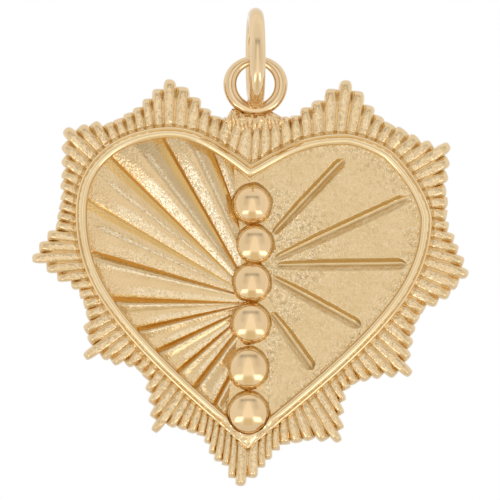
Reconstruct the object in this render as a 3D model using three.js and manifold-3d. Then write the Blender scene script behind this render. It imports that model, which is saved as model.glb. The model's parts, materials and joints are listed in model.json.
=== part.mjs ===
// A cast gold heart pendant on a swinging bail ring.
// A star of fluted rays frames a heart, whose face is pleated on the left and grooved on the right, with a
// column of six balls down the middle. A fixed ring on the cleft carries the loose bail ring.
//
// Millimetres. +X is the wearer's left as seen from the front, +Z up, and the face looks towards -Y.
// The shape is drawn about the pivot, the centre of the fixed ring's top wire, and the whole assembly is then
// moved so that the origin is where a chain bears, on the inside of the bail at its top.

import * as THREE from 'three';
import Module from 'manifold-3d';

// Heights are counted from the flat back of the pendant towards the face.
const PLATE_FLOOR = 0.8;
const LAND_HEIGHT = 1.2;
const FIT_GAP = 0.05;

// Heart outline: the centreline of the rim wire. Each node is a place, the angle of travel there in degrees,
// and the lengths of its handles before and after. Both sides run from the cleft to the bottom tip.
const CLEFT = [-0.4, -8.07];
const TIP = [-0.55, -27.77];
const LEFT_SIDE = [
  { at: CLEFT, angle: 142, before: 0, after: 3.77 },
  { at: [-6.32, -5.26], angle: 180, before: 1.48, after: 0.99 },
  { at: [-12.71, -11.14], angle: 270, before: 5.44, after: 4.4 },
  { at: TIP, angle: 320, before: 13.87, after: 0 },
];
const RIGHT_SIDE = [
  { at: CLEFT, angle: 24, before: 0, after: 1.8 },
  { at: [6.5, -5.76], angle: 0, before: 3.7, after: 0.8 },
  { at: [9.8, -7.03], angle: -44, before: 0.8, after: 2.8 },
  { at: [12.44, -11.6], angle: -90, before: 0.6, after: 5.1 },
  { at: TIP, angle: -141, before: 11.7, after: 0 },
];
const OUTLINE_STEPS = 60;
const NEAR_CORNER = 0.01;
const CORNER_REACH = 0.5;

// Rim wire, a moulded bezel: a low outer bead, a ridge, and a broad rounded slope down to the face.
const RIM_WIDTH = 0.88;
const RIM_RIDGE_HEIGHT = 2.2;
const RIM_BEAD_HEIGHT = 1.8;
const RIM_OUTER_HEIGHT = 1.6;
const RIM_SLOPE_HEIGHT = 2.04;
const RIM_INNER_HEIGHT = 1.55;
const RIM_STEP = 0.82;
const RIM_CORNER_STEP = 0.6;

// Rays. Each line starts with one ray, and next are the reaches of the rays that follow it, whose roots and
// tips are evenly spaced as far as the first ray of the line below. root and tip are distances along the
// outline from the cleft, and reach is how far a ray stands out from the rim. The longest make a star's points.
// Past the bottom tip, distances turn about it at FAN_RADIUS.
const RAY_ROOT_HEIGHT = 1.38;
const RAY_TIP_HEIGHT = 1.44;
const RAY_FLUTE_DEPTH = 0.24;
const RAY_EDGE_HEIGHT = 0.7;
const RAY_BACK_INSET = 0.08;
const RAY_TIP_ROUNDING = 0.3;
const VALLEY_SETBACK = 0.18;
const FAN_RADIUS = 2.5;
const LEFT_STAR = [
  { root: 1.2, tip: 2.0, reach: 2.45, next: [2.18, 2.01, 1.64, 1.87, 2.42, 3.01] },
  { root: 6.74, tip: 6.65, reach: 3.5, next: [2.84, 2.23, 1.76, 1.55, 1.4, 1.44, 2.02, 2.41] },
  { root: 12.37, tip: 12.28, reach: 3.03, next: [2.42, 1.9, 1.5, 1.36, 1.15, 1.2, 1.33, 1.45, 2.15, 2.86] },
  { root: 19.48, tip: 18.97, reach: 3.52, next: [2.69, 2.16, 1.42, 1.15, 1.26, 1.52, 2.24, 2.48] },
  { root: 25.64, tip: 25.37, reach: 3.45, next: [2.5, 2.18, 1.53, 1.19, 1.23, 1.78, 2.28, 2.94] },
  { root: 31.81, tip: 32.17, reach: 3.61, next: [2.55, 2.16, 1.88, 1.55, 1.68, 2.08, 2.2, 2.0, 2.6] },
  { root: 37.4, tip: 39.08, reach: 2.95, next: [] },
];
const RIGHT_STAR = [
  { root: 0.6, tip: 2.1, reach: 2.42, next: [2.22, 2.06] },
  { root: 3.29, tip: 3.79, reach: 2.03, next: [1.85] },
  { root: 4.75, tip: 5, reach: 2.26, next: [2.6, 3.34] },
  { root: 7.13, tip: 7.42, reach: 3.93, next: [] },
  { root: 7.82, tip: 7.82, reach: 3.23, next: [2.4, 1.9] },
  { root: 9.85, tip: 9.94, reach: 1.7, next: [1.82, 2.05, 2.52] },
  { root: 12.61, tip: 12.85, reach: 3.46, next: [2.79, 2.17, 1.62] },
  { root: 15.27, tip: 15.63, reach: 1.42, next: [1.15, 1.28, 1.77, 2.18, 2.77] },
  { root: 19.3, tip: 19.24, reach: 3.34, next: [2.9, 2.65, 2.15, 1.6, 1.66, 1.94, 2.42, 2.92] },
  { root: 26.1, tip: 26, reach: 3.82, next: [3.06, 2.38, 1.9] },
  { root: 28.81, tip: 29.15, reach: 1.48, next: [1.38, 1.86, 2.5, 3.3] },
  { root: 32.2, tip: 32.65, reach: 3.9, next: [3.15, 2.44, 2.0, 1.5, 1.38, 1.6, 1.8] },
  { root: 37.4, tip: 39.1, reach: 2.35, next: [] },
];

// Ball column. Each ball is domed, with a flat foot, and stands inside a thin seat ring. Its crown is part of a
// larger sphere whose slope at the ball's edge has the sine BALL_CROWN_SLOPE, and it turns down to the flank at
// the share BALL_SHOULDER of its radius.
const BALLS = [
  { x: -0.24, z: -10.46, diameter: 2.53 },
  { x: -0.05, z: -13.41, diameter: 2.41 },
  { x: -0.26, z: -16.17, diameter: 2.48 },
  { x: -0.34, z: -19.16, diameter: 2.56 },
  { x: -0.51, z: -22.44, diameter: 2.66 },
  { x: -0.53, z: -25.73, diameter: 2.77 },
];
const BALL_TALL = 1.2;
const BALL_CROWN_SLOPE = 0.7;
const BALL_SHOULDER = 0.93;
const BALL_SHOULDER_DROP = 0.16;
const BALL_WAIST = 0.45;
const BALL_FOOT = 0.97;
const BALL_SEAT_WALL = 0.12;
const BALL_SEAT_GAP = 0.02;
const BALL_SEAT_TALL = 0.34;
const LAND_TOP = { x: -0.13, z: -10.46 };
const LAND_BOTTOM = { x: -0.53, z: -25.73 };
const LAND_HALF_WIDTH = 1.56;
const LAND_STEP = 0.03;
const LAND_TOP_MARGIN = 0.3;
const LAND_BOTTOM_MARGIN = 0.6;
const LAND_FLATS = [0.35, 0.7];
const LAND_SEARCH = { nearest: 0.1, farthest: 8, steps: 40 };
const CORNER_CLEARANCE = 0.04;

// Pleats of the left panel, as the creases between them. rim is the distance along the outline where a crease
// meets the rim, and column is the height at which it meets the land beside the balls.
const CREASES = [
  { rim: 3.02, column: -10.4 },
  { rim: 7.16, column: -14.4 },
  { rim: 11.51, column: -15.65 },
  { rim: 15.4, column: -16.27 },
  { rim: 19.35, column: -16.85 },
  { rim: 23.29, column: -17.68 },
  { rim: 26.16, column: -18.05 },
  { rim: 28.33, column: -18.65 },
  { rim: 30.47, column: -19.45 },
  { rim: 32.13, column: -20.5 },
  { rim: 34.11, column: -23.2 },
];
const CREASE_HEIGHT_AT_RIM = 0.95;
const CREASE_HEIGHT_AT_COLUMN = 1.02;
const PLEAT_RISE_AT_RIM = 0.7;
const PLEAT_RISE_AT_COLUMN = 0.28;
// A pleat's section from its upper crease, as shares of its width and its rise. Below FIRST_LOWER_PLEAT it is
// the other way round.
const PLEAT_SHAPE = [
  [0, 0],
  [0.14, 0.62],
  [0.22, 0.8],
  [0.36, 0.92],
  [0.52, 1],
  [0.68, 0.86],
  [0.85, 0.53],
  [1, 0],
];
const FIRST_LOWER_PLEAT = 6;
const PLEAT_ROWS = 5;

// Grooves of the right panel: lens-shaped cuts that fan out from the ball column.
const GROOVES = [
  { rim: 8.36, column: -12.6, from: 0.14, to: 0.98, width: 0.76 },
  { rim: 14.32, column: -14.55, from: 0.02, to: 0.98, width: 0.8 },
  { rim: 19.86, column: -15.0, from: 0.02, to: 0.98, width: 0.84 },
  { rim: 25.87, column: -15.9, from: 0.05, to: 0.98, width: 0.78 },
  { rim: 30.8, column: -18.5, from: 0.09, to: 0.98, width: 0.74 },
];
const GROOVE_DEPTH = 0.28;
const GROOVE_FULLNESS = 0.7;
const GROOVE_ROWS = 9;
const PANEL_STEP = 0.8;

// Fixed ring, flattened where the bail has worn it at the top.
const RING_BORE_RADIUS = 1.38;
const RING_WIRE_AT_SIDES = 0.97;
const RING_WIRE_AT_TOP = 0.69;
const RING_HEIGHT = 0.75;
const RING_STEPS = 28;
const RING_SECTION_STEPS = 8;

// Saddle of solder that holds the fixed ring down on the cleft.
const SADDLE_LEFT = -1.95;
const SADDLE_RIGHT = 1.3;
const SADDLE_TOP = -3.5;
const SADDLE_SEAT = -4.6;
const SADDLE_THICKNESS = 0.9;
const SADDLE_SHOULDER = 0.4;
const SADDLE_DIP = 0.4;
const SADDLE_CURVE_STEPS = 6;
const SEAT_MARGIN = 0.2;

// Bail, a round wire ring that hangs edge-on. At rest it is dropped forward and lies against the fixed ring.
const BAIL_WIRE = 1.15;
const BAIL_RADIUS = 3.1;
const BAIL_PLAY = 0.256;
const BAIL_REST_GAP = 0.03;
const BAIL_LEAN = 2.7;
const BAIL_YAW = 3;
const BAIL_STEPS = 40;
const BAIL_SECTION_STEPS = 10;

const rayRoot = RIM_WIDTH / 2 + FIT_GAP;
const panelEdge = -RIM_WIDTH / 2 - FIT_GAP;

const radians = THREE.MathUtils.degToRad;
const lerp = THREE.MathUtils.lerp;

// A point at x, a height above the flat back, and z, about the pivot.
function place(x, height, z) {
  return [x, RING_HEIGHT - height, z];
}

function heading(angle) {
  return [Math.cos(radians(angle)), Math.sin(radians(angle))];
}

// One side of the heart as a fine line of points with their distances from the cleft and outward normals.
function traceSide(nodes, outward) {
  const points = [];
  for (let i = 1; i < nodes.length; i++) {
    const [a, b] = [nodes[i - 1], nodes[i]];
    const [da, db] = [heading(a.angle), heading(b.angle)];
    const curve = new THREE.CubicBezierCurve(
      new THREE.Vector2(...a.at),
      new THREE.Vector2(a.at[0] + a.after * da[0], a.at[1] + a.after * da[1]),
      new THREE.Vector2(b.at[0] - b.before * db[0], b.at[1] - b.before * db[1]),
      new THREE.Vector2(...b.at),
    );
    const run = curve.getPoints(OUTLINE_STEPS);
    points.push(...(i === 1 ? run : run.slice(1)));
  }
  const distances = [0];
  for (let i = 1; i < points.length; i++) {
    distances.push(distances[i - 1] + points[i].distanceTo(points[i - 1]));
  }
  return { points, distances, outward, length: distances[distances.length - 1] };
}

const leftSide = traceSide(LEFT_SIDE, -1);
const rightSide = traceSide(RIGHT_SIDE, 1);

// The point of a side at a distance along it, moved out from the outline by offset.
function along(side, distance, offset) {
  const s = THREE.MathUtils.clamp(distance, 0, side.length);
  let i = 1;
  while (i < side.distances.length - 1 && side.distances[i] < s) i++;
  const [a, b] = [side.points[i - 1], side.points[i]];
  const t = (s - side.distances[i - 1]) / (side.distances[i] - side.distances[i - 1]);
  const direction = b.clone().sub(a).normalize();
  let normal = [-direction.y * side.outward, direction.x * side.outward];
  if (distance > side.length) {
    const turn = (side.outward * (side.length - distance)) / FAN_RADIUS;
    normal = turned(normal, turn);
  }
  return [lerp(a.x, b.x, t) + normal[0] * offset, lerp(a.y, b.y, t) + normal[1] * offset];
}

function turned([x, z], angle) {
  const [c, s] = [Math.cos(angle), Math.sin(angle)];
  return [x * c - z * s, x * s + z * c];
}

// The heart's axis joins the cleft and the bottom tip.
function axisAt(z) {
  return lerp(CLEFT[0], TIP[0], (z - CLEFT[1]) / (TIP[1] - CLEFT[1]));
}

// Where an offset of both sides meets on the axis, at the cleft or at the bottom tip.
function corner(atTip, offset) {
  const side = leftSide;
  const near = atTip ? side.length - NEAR_CORNER : NEAR_CORNER;
  const [x, z] = along(side, near, offset);
  const [ahead, zAhead] = along(side, atTip ? near - CORNER_REACH : near + CORNER_REACH, offset);
  const slope = (zAhead - z) / (ahead - x);
  const meet = z + (axisAt(z) - x) * slope;
  return [axisAt(meet), meet];
}

// Distances along a side, dense enough for the wire to follow the outline, clear of both corners.
function stations(side, step) {
  const count = Math.round((side.length - 2 * RIM_CORNER_STEP) / step);
  return Array.from({ length: count + 1 }, (_, i) =>
    lerp(RIM_CORNER_STEP, side.length - RIM_CORNER_STEP, i / count),
  );
}

const SHARED_POINT = 0.0005;

// Collects points and faces into one closed skin. Points that coincide are shared, and faces that have
// collapsed to a line are left out.
class Skin {
  constructor() {
    this.points = [];
    this.faces = [];
    this.known = new Map();
  }

  point(p) {
    const key = p.map((v) => Math.round(v / SHARED_POINT)).join();
    if (!this.known.has(key)) {
      this.known.set(key, this.points.length);
      this.points.push(p);
    }
    return this.known.get(key);
  }

  face(a, b, c) {
    const ids = [this.point(a), this.point(b), this.point(c)];
    if (new Set(ids).size === 3) this.faces.push(ids);
  }

  grid(rows, wrap = false) {
    const columns = rows[0].length;
    for (let i = 1; i < rows.length; i++) {
      for (let j = 0; j < (wrap ? columns : columns - 1); j++) {
        const k = (j + 1) % columns;
        this.face(rows[i - 1][j], rows[i - 1][k], rows[i][k]);
        this.face(rows[i - 1][j], rows[i][k], rows[i][j]);
      }
    }
  }

  // A flat cap whose faces follow the loop's own direction. The triangulation always turns anticlockwise.
  cap(loop) {
    const kept = loop.filter((p, i) => this.point(p) !== this.point(loop[(i + 1) % loop.length]));
    const flat = kept.map(([x, , z]) => new THREE.Vector2(x, z));
    const clockwise = THREE.ShapeUtils.isClockWise(flat);
    for (const [a, b, c] of THREE.ShapeUtils.triangulateShape(flat, [])) {
      if (clockwise) this.face(kept[a], kept[c], kept[b]);
      else this.face(kept[a], kept[b], kept[c]);
    }
  }

  volume() {
    let sum = 0;
    for (const face of this.faces) {
      const [a, b, c] = face.map((i) => new THREE.Vector3(...this.points[i]));
      sum += a.dot(b.cross(c)) / 6;
    }
    return sum;
  }

  geometry() {
    const flip = this.volume() < 0;
    const geometry = new THREE.BufferGeometry();
    geometry.setAttribute('position', new THREE.Float32BufferAttribute(this.points.flat(), 3));
    geometry.setIndex(this.faces.flatMap(([a, b, c]) => (flip ? [a, c, b] : [a, b, c])));
    geometry.computeVertexNormals();
    return geometry;
  }
}

// Takes any closed three.js geometry, shares its points and turns its faces outwards.
function closed(source) {
  const skin = new Skin();
  const position = source.getAttribute('position');
  const at = (i) => [position.getX(i), position.getY(i), position.getZ(i)];
  const index = source.index ? source.index.array : Array.from({ length: position.count }, (_, i) => i);
  for (let i = 0; i < index.length; i += 3) {
    skin.face(at(index[i]), at(index[i + 1]), at(index[i + 2]));
  }
  return skin.geometry();
}

const wasm = await Module();
wasm.setup();

function toSolid(geometry) {
  return new wasm.Manifold(
    new wasm.Mesh({
      numProp: 3,
      vertProperties: new Float32Array(geometry.getAttribute('position').array),
      triVerts: new Uint32Array(geometry.index.array),
    }),
  );
}

function cut(geometry, ...cutters) {
  let solid = toSolid(geometry);
  for (const cutter of cutters) solid = solid.subtract(toSolid(cutter));
  const mesh = solid.getMesh();
  const result = new THREE.BufferGeometry();
  result.setAttribute('position', new THREE.BufferAttribute(mesh.vertProperties, 3));
  result.setIndex(new THREE.BufferAttribute(mesh.triVerts, 1));
  return closed(result);
}

// Rays

// Root, tip and length of every ray on one side, in order from the cleft.
function raysOf(side, star) {
  const rays = [];
  star.forEach((point, i) => {
    const next = star[i + 1];
    const reaches = [point.reach, ...point.next];
    reaches.forEach((reach, k) => {
      const t = k / reaches.length;
      const root = next ? lerp(point.root, next.root, t) : point.root;
      const tip = next ? lerp(point.tip, next.tip, t) : point.tip;
      const from = along(side, root, rayRoot);
      const to = along(side, tip, rayRoot + reach);
      const length = Math.hypot(to[0] - from[0], to[1] - from[1]);
      rays.push({ side, root, from, to, length });
    });
  });
  return rays;
}

function onRay(ray, distance) {
  const t = distance / ray.length;
  return [lerp(ray.from[0], ray.to[0], t), lerp(ray.from[1], ray.to[1], t)];
}

// The valley between two rays: where it leaves the rim, and where it ends beside the shorter ray.
function valleyBetween(a, b) {
  let foot;
  if (a.side === b.side) foot = along(a.side, (a.root + b.root) / 2, rayRoot);
  else foot = corner(a.root > FAN_RADIUS, rayRoot);
  const short = Math.min(a.length, b.length);
  const spread = (d) => Math.hypot(onRay(a, d)[0] - onRay(b, d)[0], onRay(a, d)[1] - onRay(b, d)[1]) / 2;
  const reach = short - VALLEY_SETBACK * spread(short);
  const [p, q] = [onRay(a, reach), onRay(b, reach)];
  return { foot, end: [(p[0] + q[0]) / 2, (p[1] + q[1]) / 2], half: spread(reach) };
}

// The rays under the saddle end in a flat seat for it.
function seated([x, z]) {
  const under = x > SADDLE_LEFT - SEAT_MARGIN && x < SADDLE_RIGHT + SEAT_MARGIN;
  return under ? [x, Math.min(z, SADDLE_SEAT)] : [x, z];
}

// Places across one ray: share of its width from its middle, how far back from its rounded tip, and crest.
const RAY_SECTION = [
  { across: -0.36, tipBack: 0.26, crest: 0.74 },
  { across: -0.13, tipBack: 0.04, crest: 1 },
  { across: 0.13, tipBack: 0.04, crest: 1 },
  { across: 0.36, tipBack: 0.26, crest: 0.74 },
];

function rayPlate() {
  const rays = [...raysOf(leftSide, LEFT_STAR), ...raysOf(rightSide, RIGHT_STAR).reverse()];
  const columns = [];
  rays.forEach((ray, i) => {
    const before = valleyBetween(rays[(i + rays.length - 1) % rays.length], ray);
    const after = valleyBetween(ray, rays[(i + 1) % rays.length]);
    columns.push({ foot: before.foot, end: before.end, half: before.half, crest: 0 });
    const run = [(ray.to[0] - ray.from[0]) / ray.length, (ray.to[1] - ray.from[1]) / ray.length];
    const turn = Math.sign(run[0] * (before.end[1] - ray.from[1]) - run[1] * (before.end[0] - ray.from[0]));
    const sideways = [-run[1] * turn, run[0] * turn];
    for (const { across, tipBack, crest } of RAY_SECTION) {
      const half = across < 0 ? before.half : after.half;
      const foot = footBetween(before.foot, after.foot, ray, across + 0.5);
      const [x, z] = onRay(ray, ray.length - tipBack * half);
      const shift = -across * 2 * half;
      columns.push({ foot, end: [x + sideways[0] * shift, z + sideways[1] * shift], half, crest });
    }
  });
  const row = (share, height) =>
    columns.map((c) => {
      const length = Math.hypot(c.end[0] - c.foot[0], c.end[1] - c.foot[1]);
      const t = share(c, length);
      const [x, z] = seated([lerp(c.foot[0], c.end[0], t), lerp(c.foot[1], c.end[1], t)]);
      return place(x, height(c), z);
    });
  const fluted = (top) => (c) => top - RAY_FLUTE_DEPTH * (1 - c.crest);
  const rows = [
    row(() => 0, () => PLATE_FLOOR),
    row(() => 0, fluted(RAY_ROOT_HEIGHT)),
    row((c, length) => 1 - RAY_TIP_ROUNDING / length, fluted(RAY_TIP_HEIGHT)),
    row(() => 1, () => RAY_EDGE_HEIGHT),
    row((c, length) => 1 - RAY_BACK_INSET / length, () => 0),
  ];
  const skin = new Skin();
  skin.grid(rows, true);
  skin.cap([...rows[0]].reverse());
  skin.cap(rows[rows.length - 1]);
  return skin.geometry();
}

// A foot on the rim's outer edge, at a share of the way from one valley to the next, through the ray's root.
function footBetween(before, after, ray, share) {
  const t = share < 0.5 ? share * 2 : share * 2 - 1;
  const [p, q] = share < 0.5 ? [before, ray.from] : [ray.from, after];
  return [lerp(p[0], q[0], t), lerp(p[1], q[1], t)];
}

// Rim wire

// Shares of the rim's width, from its outer edge to its inner edge, with the height at each.
const RIM_SECTION = [
  [0.5, PLATE_FLOOR],
  [0.5, RIM_OUTER_HEIGHT],
  [0.4, RIM_BEAD_HEIGHT],
  [0.24, RIM_BEAD_HEIGHT],
  [0.02, RIM_RIDGE_HEIGHT],
  [-0.27, RIM_SLOPE_HEIGHT],
  [-0.5, RIM_INNER_HEIGHT],
  [-0.5, PLATE_FLOOR],
];

function ballSeatOuter(ball) {
  return ball.diameter / 2 + BALL_SEAT_GAP + BALL_SEAT_WALL;
}

function rimWire() {
  const rows = RIM_SECTION.map(([share, height]) => {
    const offset = share * RIM_WIDTH;
    const left = stations(leftSide, RIM_STEP).map((s) => along(leftSide, s, offset));
    const right = stations(rightSide, RIM_STEP).map((s) => along(rightSide, s, offset));
    const loop = [corner(false, offset), ...left, corner(true, offset), ...right.reverse()];
    return loop.map(([x, z]) => place(x, height, z));
  });
  const skin = new Skin();
  skin.grid([...rows, rows[0]], true);
  const last = BALLS[BALLS.length - 1];
  const pocket = post(ballSeatOuter(last) + FIT_GAP, LAND_HEIGHT, RIM_RIDGE_HEIGHT + RIM_WIDTH);
  pocket.translate(last.x, 0, last.z);
  return cut(skin.geometry(), pocket);
}

const POCKET_STEPS = 40;

// A round post standing on the face between two heights.
function post(radius, low, high) {
  return revolve([[0, low], [radius, low], [radius, high], [0, high]], POCKET_STEPS);
}

// Panels

// Half of the face, from the rim to the heart's axis. Each line runs from the rim over the panel to the land
// beside the balls, and then across the land to the axis.
function landEdge(z, outward) {
  const t = (z - LAND_TOP.z) / (LAND_BOTTOM.z - LAND_TOP.z);
  return lerp(LAND_TOP.x, LAND_BOTTOM.x, t) + outward * LAND_HALF_WIDTH;
}

// Distance along a side at which the panel's edge crosses the edge of the land, near the cleft or the tip.
function landCrossing(side, atTip) {
  const { nearest, farthest, steps } = LAND_SEARCH;
  let [low, high] = atTip ? [side.length - nearest, side.length - farthest] : [nearest, farthest];
  for (let i = 0; i < steps; i++) {
    const middle = (low + high) / 2;
    const [x, z] = along(side, middle, panelEdge);
    const outside = (x - landEdge(z, side.outward)) * side.outward > 0;
    if (outside) high = middle;
    else low = middle;
  }
  return (low + high) / 2;
}

// Lines of a panel. guides are lines with a rim distance and a column height, and shape gives the extra lines
// between two guides as a share of the way and a name.
function panelLines(side, guides, between) {
  const first = landCrossing(side, false);
  const last = landCrossing(side, true);
  const topCorner = corner(false, panelEdge);
  const tipCorner = corner(true, panelEdge);
  const start = { rim: first, column: along(side, first, panelEdge)[1] };
  const end = { rim: last, column: along(side, last, panelEdge)[1] };
  const stops = [start, ...guides, end];
  const lines = [];
  stops.forEach((stop, i) => {
    const next = stops[i + 1];
    if (!next) return;
    for (const piece of between(stop, next, i)) {
      const rim = lerp(stop.rim, next.rim, piece.share);
      const column = lerp(stop.column, next.column, piece.share);
      const inner = [landEdge(column, side.outward), column];
      lines.push({ ...piece, outer: along(side, rim, panelEdge), inner });
    }
  });
  lines.push({ rise: 0, outer: along(side, last, panelEdge), inner: along(side, last, panelEdge) });
  const axisGap = (side.outward * FIT_GAP) / 2;
  const axisPoint = (z) => [axisAt(z) + axisGap, z];
  for (const line of lines) {
    const lowest = tipCorner[1] + LAND_BOTTOM_MARGIN;
    const highest = topCorner[1] - LAND_TOP_MARGIN;
    line.axis = axisPoint(THREE.MathUtils.clamp(line.inner[1], lowest, highest));
  }
  const flatLine = (distance, z) => {
    const outer = along(side, distance, panelEdge);
    return { flat: true, rise: 0, outer, inner: outer, axis: axisPoint(z) };
  };
  const cornerLine = (point) => {
    const p = [point[0] + axisGap, point[1] + (point === topCorner ? -CORNER_CLEARANCE : CORNER_CLEARANCE)];
    return { flat: true, rise: 0, outer: p, inner: p, axis: p };
  };
  const before = LAND_FLATS.map((t) =>
    flatLine(lerp(RIM_CORNER_STEP, first, t), topCorner[1] - LAND_TOP_MARGIN * t),
  );
  const after = [...LAND_FLATS].reverse().map((t) =>
    flatLine(lerp(side.length - RIM_CORNER_STEP, last, t), tipCorner[1] + LAND_BOTTOM_MARGIN * t),
  );
  return [cornerLine(topCorner), ...before, ...lines, ...after, cornerLine(tipCorner)];
}

// Closes a panel under a grid of points on its face, down to its flat underside on the plate.
function panelSolid(rows) {
  const lowered = (p) => place(p[0], PLATE_FLOOR, p[2]);
  const firstColumn = rows.slice(1, -1).map((row) => row[0]);
  const lastColumn = rows.slice(1, -1).map((row) => row[row.length - 1]);
  const edge = [
    ...rows[0],
    ...lastColumn,
    ...[...rows[rows.length - 1]].reverse(),
    ...firstColumn.reverse(),
  ];
  const foot = edge.map(lowered);
  const skin = new Skin();
  skin.grid(rows);
  skin.grid([foot, edge], true);
  skin.cap([...foot].reverse());
  return skin.geometry();
}

function mix(p, q, t) {
  return [lerp(p[0], q[0], t), lerp(p[1], q[1], t)];
}

function pleatedPanel() {
  const upper = PLEAT_SHAPE.map(([share, rise]) => ({ share, rise }));
  const lower = upper.map(({ share, rise }) => ({ share: 1 - share, rise })).reverse();
  const between = (stop, next, i) => (i < FIRST_LOWER_PLEAT ? upper : lower).slice(0, -1);
  const lines = panelLines(leftSide, CREASES, between);
  const rows = [];
  for (let r = 0; r <= PLEAT_ROWS; r++) {
    const t = r / PLEAT_ROWS;
    const crease = lerp(CREASE_HEIGHT_AT_RIM, CREASE_HEIGHT_AT_COLUMN, t);
    const rise = lerp(PLEAT_RISE_AT_RIM, PLEAT_RISE_AT_COLUMN, t);
    rows.push(
      lines.map((line) => {
        const [x, z] = mix(line.outer, line.inner, t);
        return place(x, line.flat ? LAND_HEIGHT : crease + line.rise * rise, z);
      }),
    );
  }
  return panelSolid([...rows, ...landRows(lines)]);
}

function landRows(lines) {
  return [LAND_STEP, 1].map((t) =>
    lines.map((line) => {
      const [x, z] = mix(line.inner, line.axis, t);
      return place(x, LAND_HEIGHT, z);
    }),
  );
}

// Flat lines between grooves, and three lines for the two lips and the bottom of each groove.
function groovedPanel() {
  const between = (stop, next, i) => {
    const count = Math.max(1, Math.round((next.rim - stop.rim) / PANEL_STEP));
    const groove = GROOVES[i - 1];
    const own = groove ? [-0.5, 0, 0.5].map((across) => ({ share: 0, across, groove })) : [{ share: 0 }];
    const flats = Array.from({ length: count - 1 }, (_, k) => ({ share: (k + 1) / count }));
    return [...own, ...flats];
  };
  const lines = panelLines(rightSide, GROOVES, between);
  const rows = [];
  for (let r = 0; r <= GROOVE_ROWS; r++) {
    const t = r / GROOVE_ROWS;
    rows.push(lines.map((line) => groovePoint(line, t)));
  }
  return panelSolid([...rows, ...landRows(lines)]);
}

function groovePoint(line, t) {
  const [x, z] = mix(line.outer, line.inner, t);
  if (!line.groove) return place(x, LAND_HEIGHT, z);
  const { from, to, width } = line.groove;
  const lens = Math.sin(Math.PI * THREE.MathUtils.clamp((t - from) / (to - from), 0, 1)) ** GROOVE_FULLNESS;
  const run = [line.inner[0] - line.outer[0], line.inner[1] - line.outer[1]];
  const length = Math.hypot(...run);
  const shift = (line.across * width * lens) / length;
  const depth = line.across === 0 ? GROOVE_DEPTH * lens : 0;
  return place(x - run[1] * shift, LAND_HEIGHT - depth, z + run[0] * shift);
}

// Balls and their seats

function revolve(profile, steps) {
  const points = profile.map(([r, height]) => new THREE.Vector2(r, RING_HEIGHT - height));
  return closed(new THREE.LatheGeometry(points, steps));
}

const BALL_STEPS = 18;
const BALL_CROWN_STEPS = 5;

function ballShape(ball) {
  const radius = ball.diameter / 2;
  const crown = radius / BALL_CROWN_SLOPE;
  const centre = LAND_HEIGHT + BALL_TALL - crown;
  const profile = [
    [0, LAND_HEIGHT],
    [radius * BALL_FOOT, LAND_HEIGHT],
    [radius, LAND_HEIGHT + BALL_WAIST],
  ];
  const shoulder = Math.acos((radius * BALL_SHOULDER) / crown);
  const shoulderHeight = centre + crown * Math.sin(shoulder);
  profile.push([radius, shoulderHeight - BALL_SHOULDER_DROP]);
  for (let i = 0; i < BALL_CROWN_STEPS; i++) {
    const angle = lerp(shoulder, Math.PI / 2, i / BALL_CROWN_STEPS);
    profile.push([crown * Math.cos(angle), centre + crown * Math.sin(angle)]);
  }
  profile.push([0, LAND_HEIGHT + BALL_TALL]);
  return revolve(profile, BALL_STEPS);
}

function ballSeatShape(ball) {
  const inner = ball.diameter / 2 + BALL_SEAT_GAP;
  const outer = ballSeatOuter(ball);
  const top = LAND_HEIGHT + BALL_SEAT_TALL;
  const profile = [
    [inner, LAND_HEIGHT],
    [outer, LAND_HEIGHT],
    [outer, top - BALL_SEAT_WALL / 2],
    [(inner + outer) / 2, top],
    [inner, top - BALL_SEAT_WALL / 2],
    [inner, LAND_HEIGHT],
  ];
  return revolve(profile, BALL_STEPS);
}

// Rings

// A ring of wire: the centre and radius of its section at each angle, as given by wireAt.
function wireRing(wireAt, steps, sectionSteps) {
  const rows = [];
  for (let i = 0; i <= steps; i++) {
    const angle = (2 * Math.PI * (i % steps)) / steps;
    const { radius, wire } = wireAt(angle);
    const row = [];
    for (let k = 0; k < sectionSteps; k++) {
      const turn = (2 * Math.PI * k) / sectionSteps;
      const reach = radius + (wire / 2) * Math.cos(turn);
      row.push([reach * Math.sin(angle), (wire / 2) * Math.sin(turn), reach * Math.cos(angle)]);
    }
    rows.push(row);
  }
  const skin = new Skin();
  skin.grid(rows, true);
  return skin.geometry();
}

const ringDrop = RING_BORE_RADIUS + RING_WIRE_AT_TOP / 2;

// The fixed ring's wire thins towards the top, about a round bore.
function fixedRing(extra = 0) {
  const wireAt = (angle) => {
    const wire = lerp(RING_WIRE_AT_SIDES, RING_WIRE_AT_TOP, Math.max(0, Math.cos(angle)) ** 2);
    return { radius: RING_BORE_RADIUS + wire / 2, wire: wire + 2 * extra };
  };
  return wireRing(wireAt, RING_STEPS, RING_SECTION_STEPS).translate(0, 0, -ringDrop);
}

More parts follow.
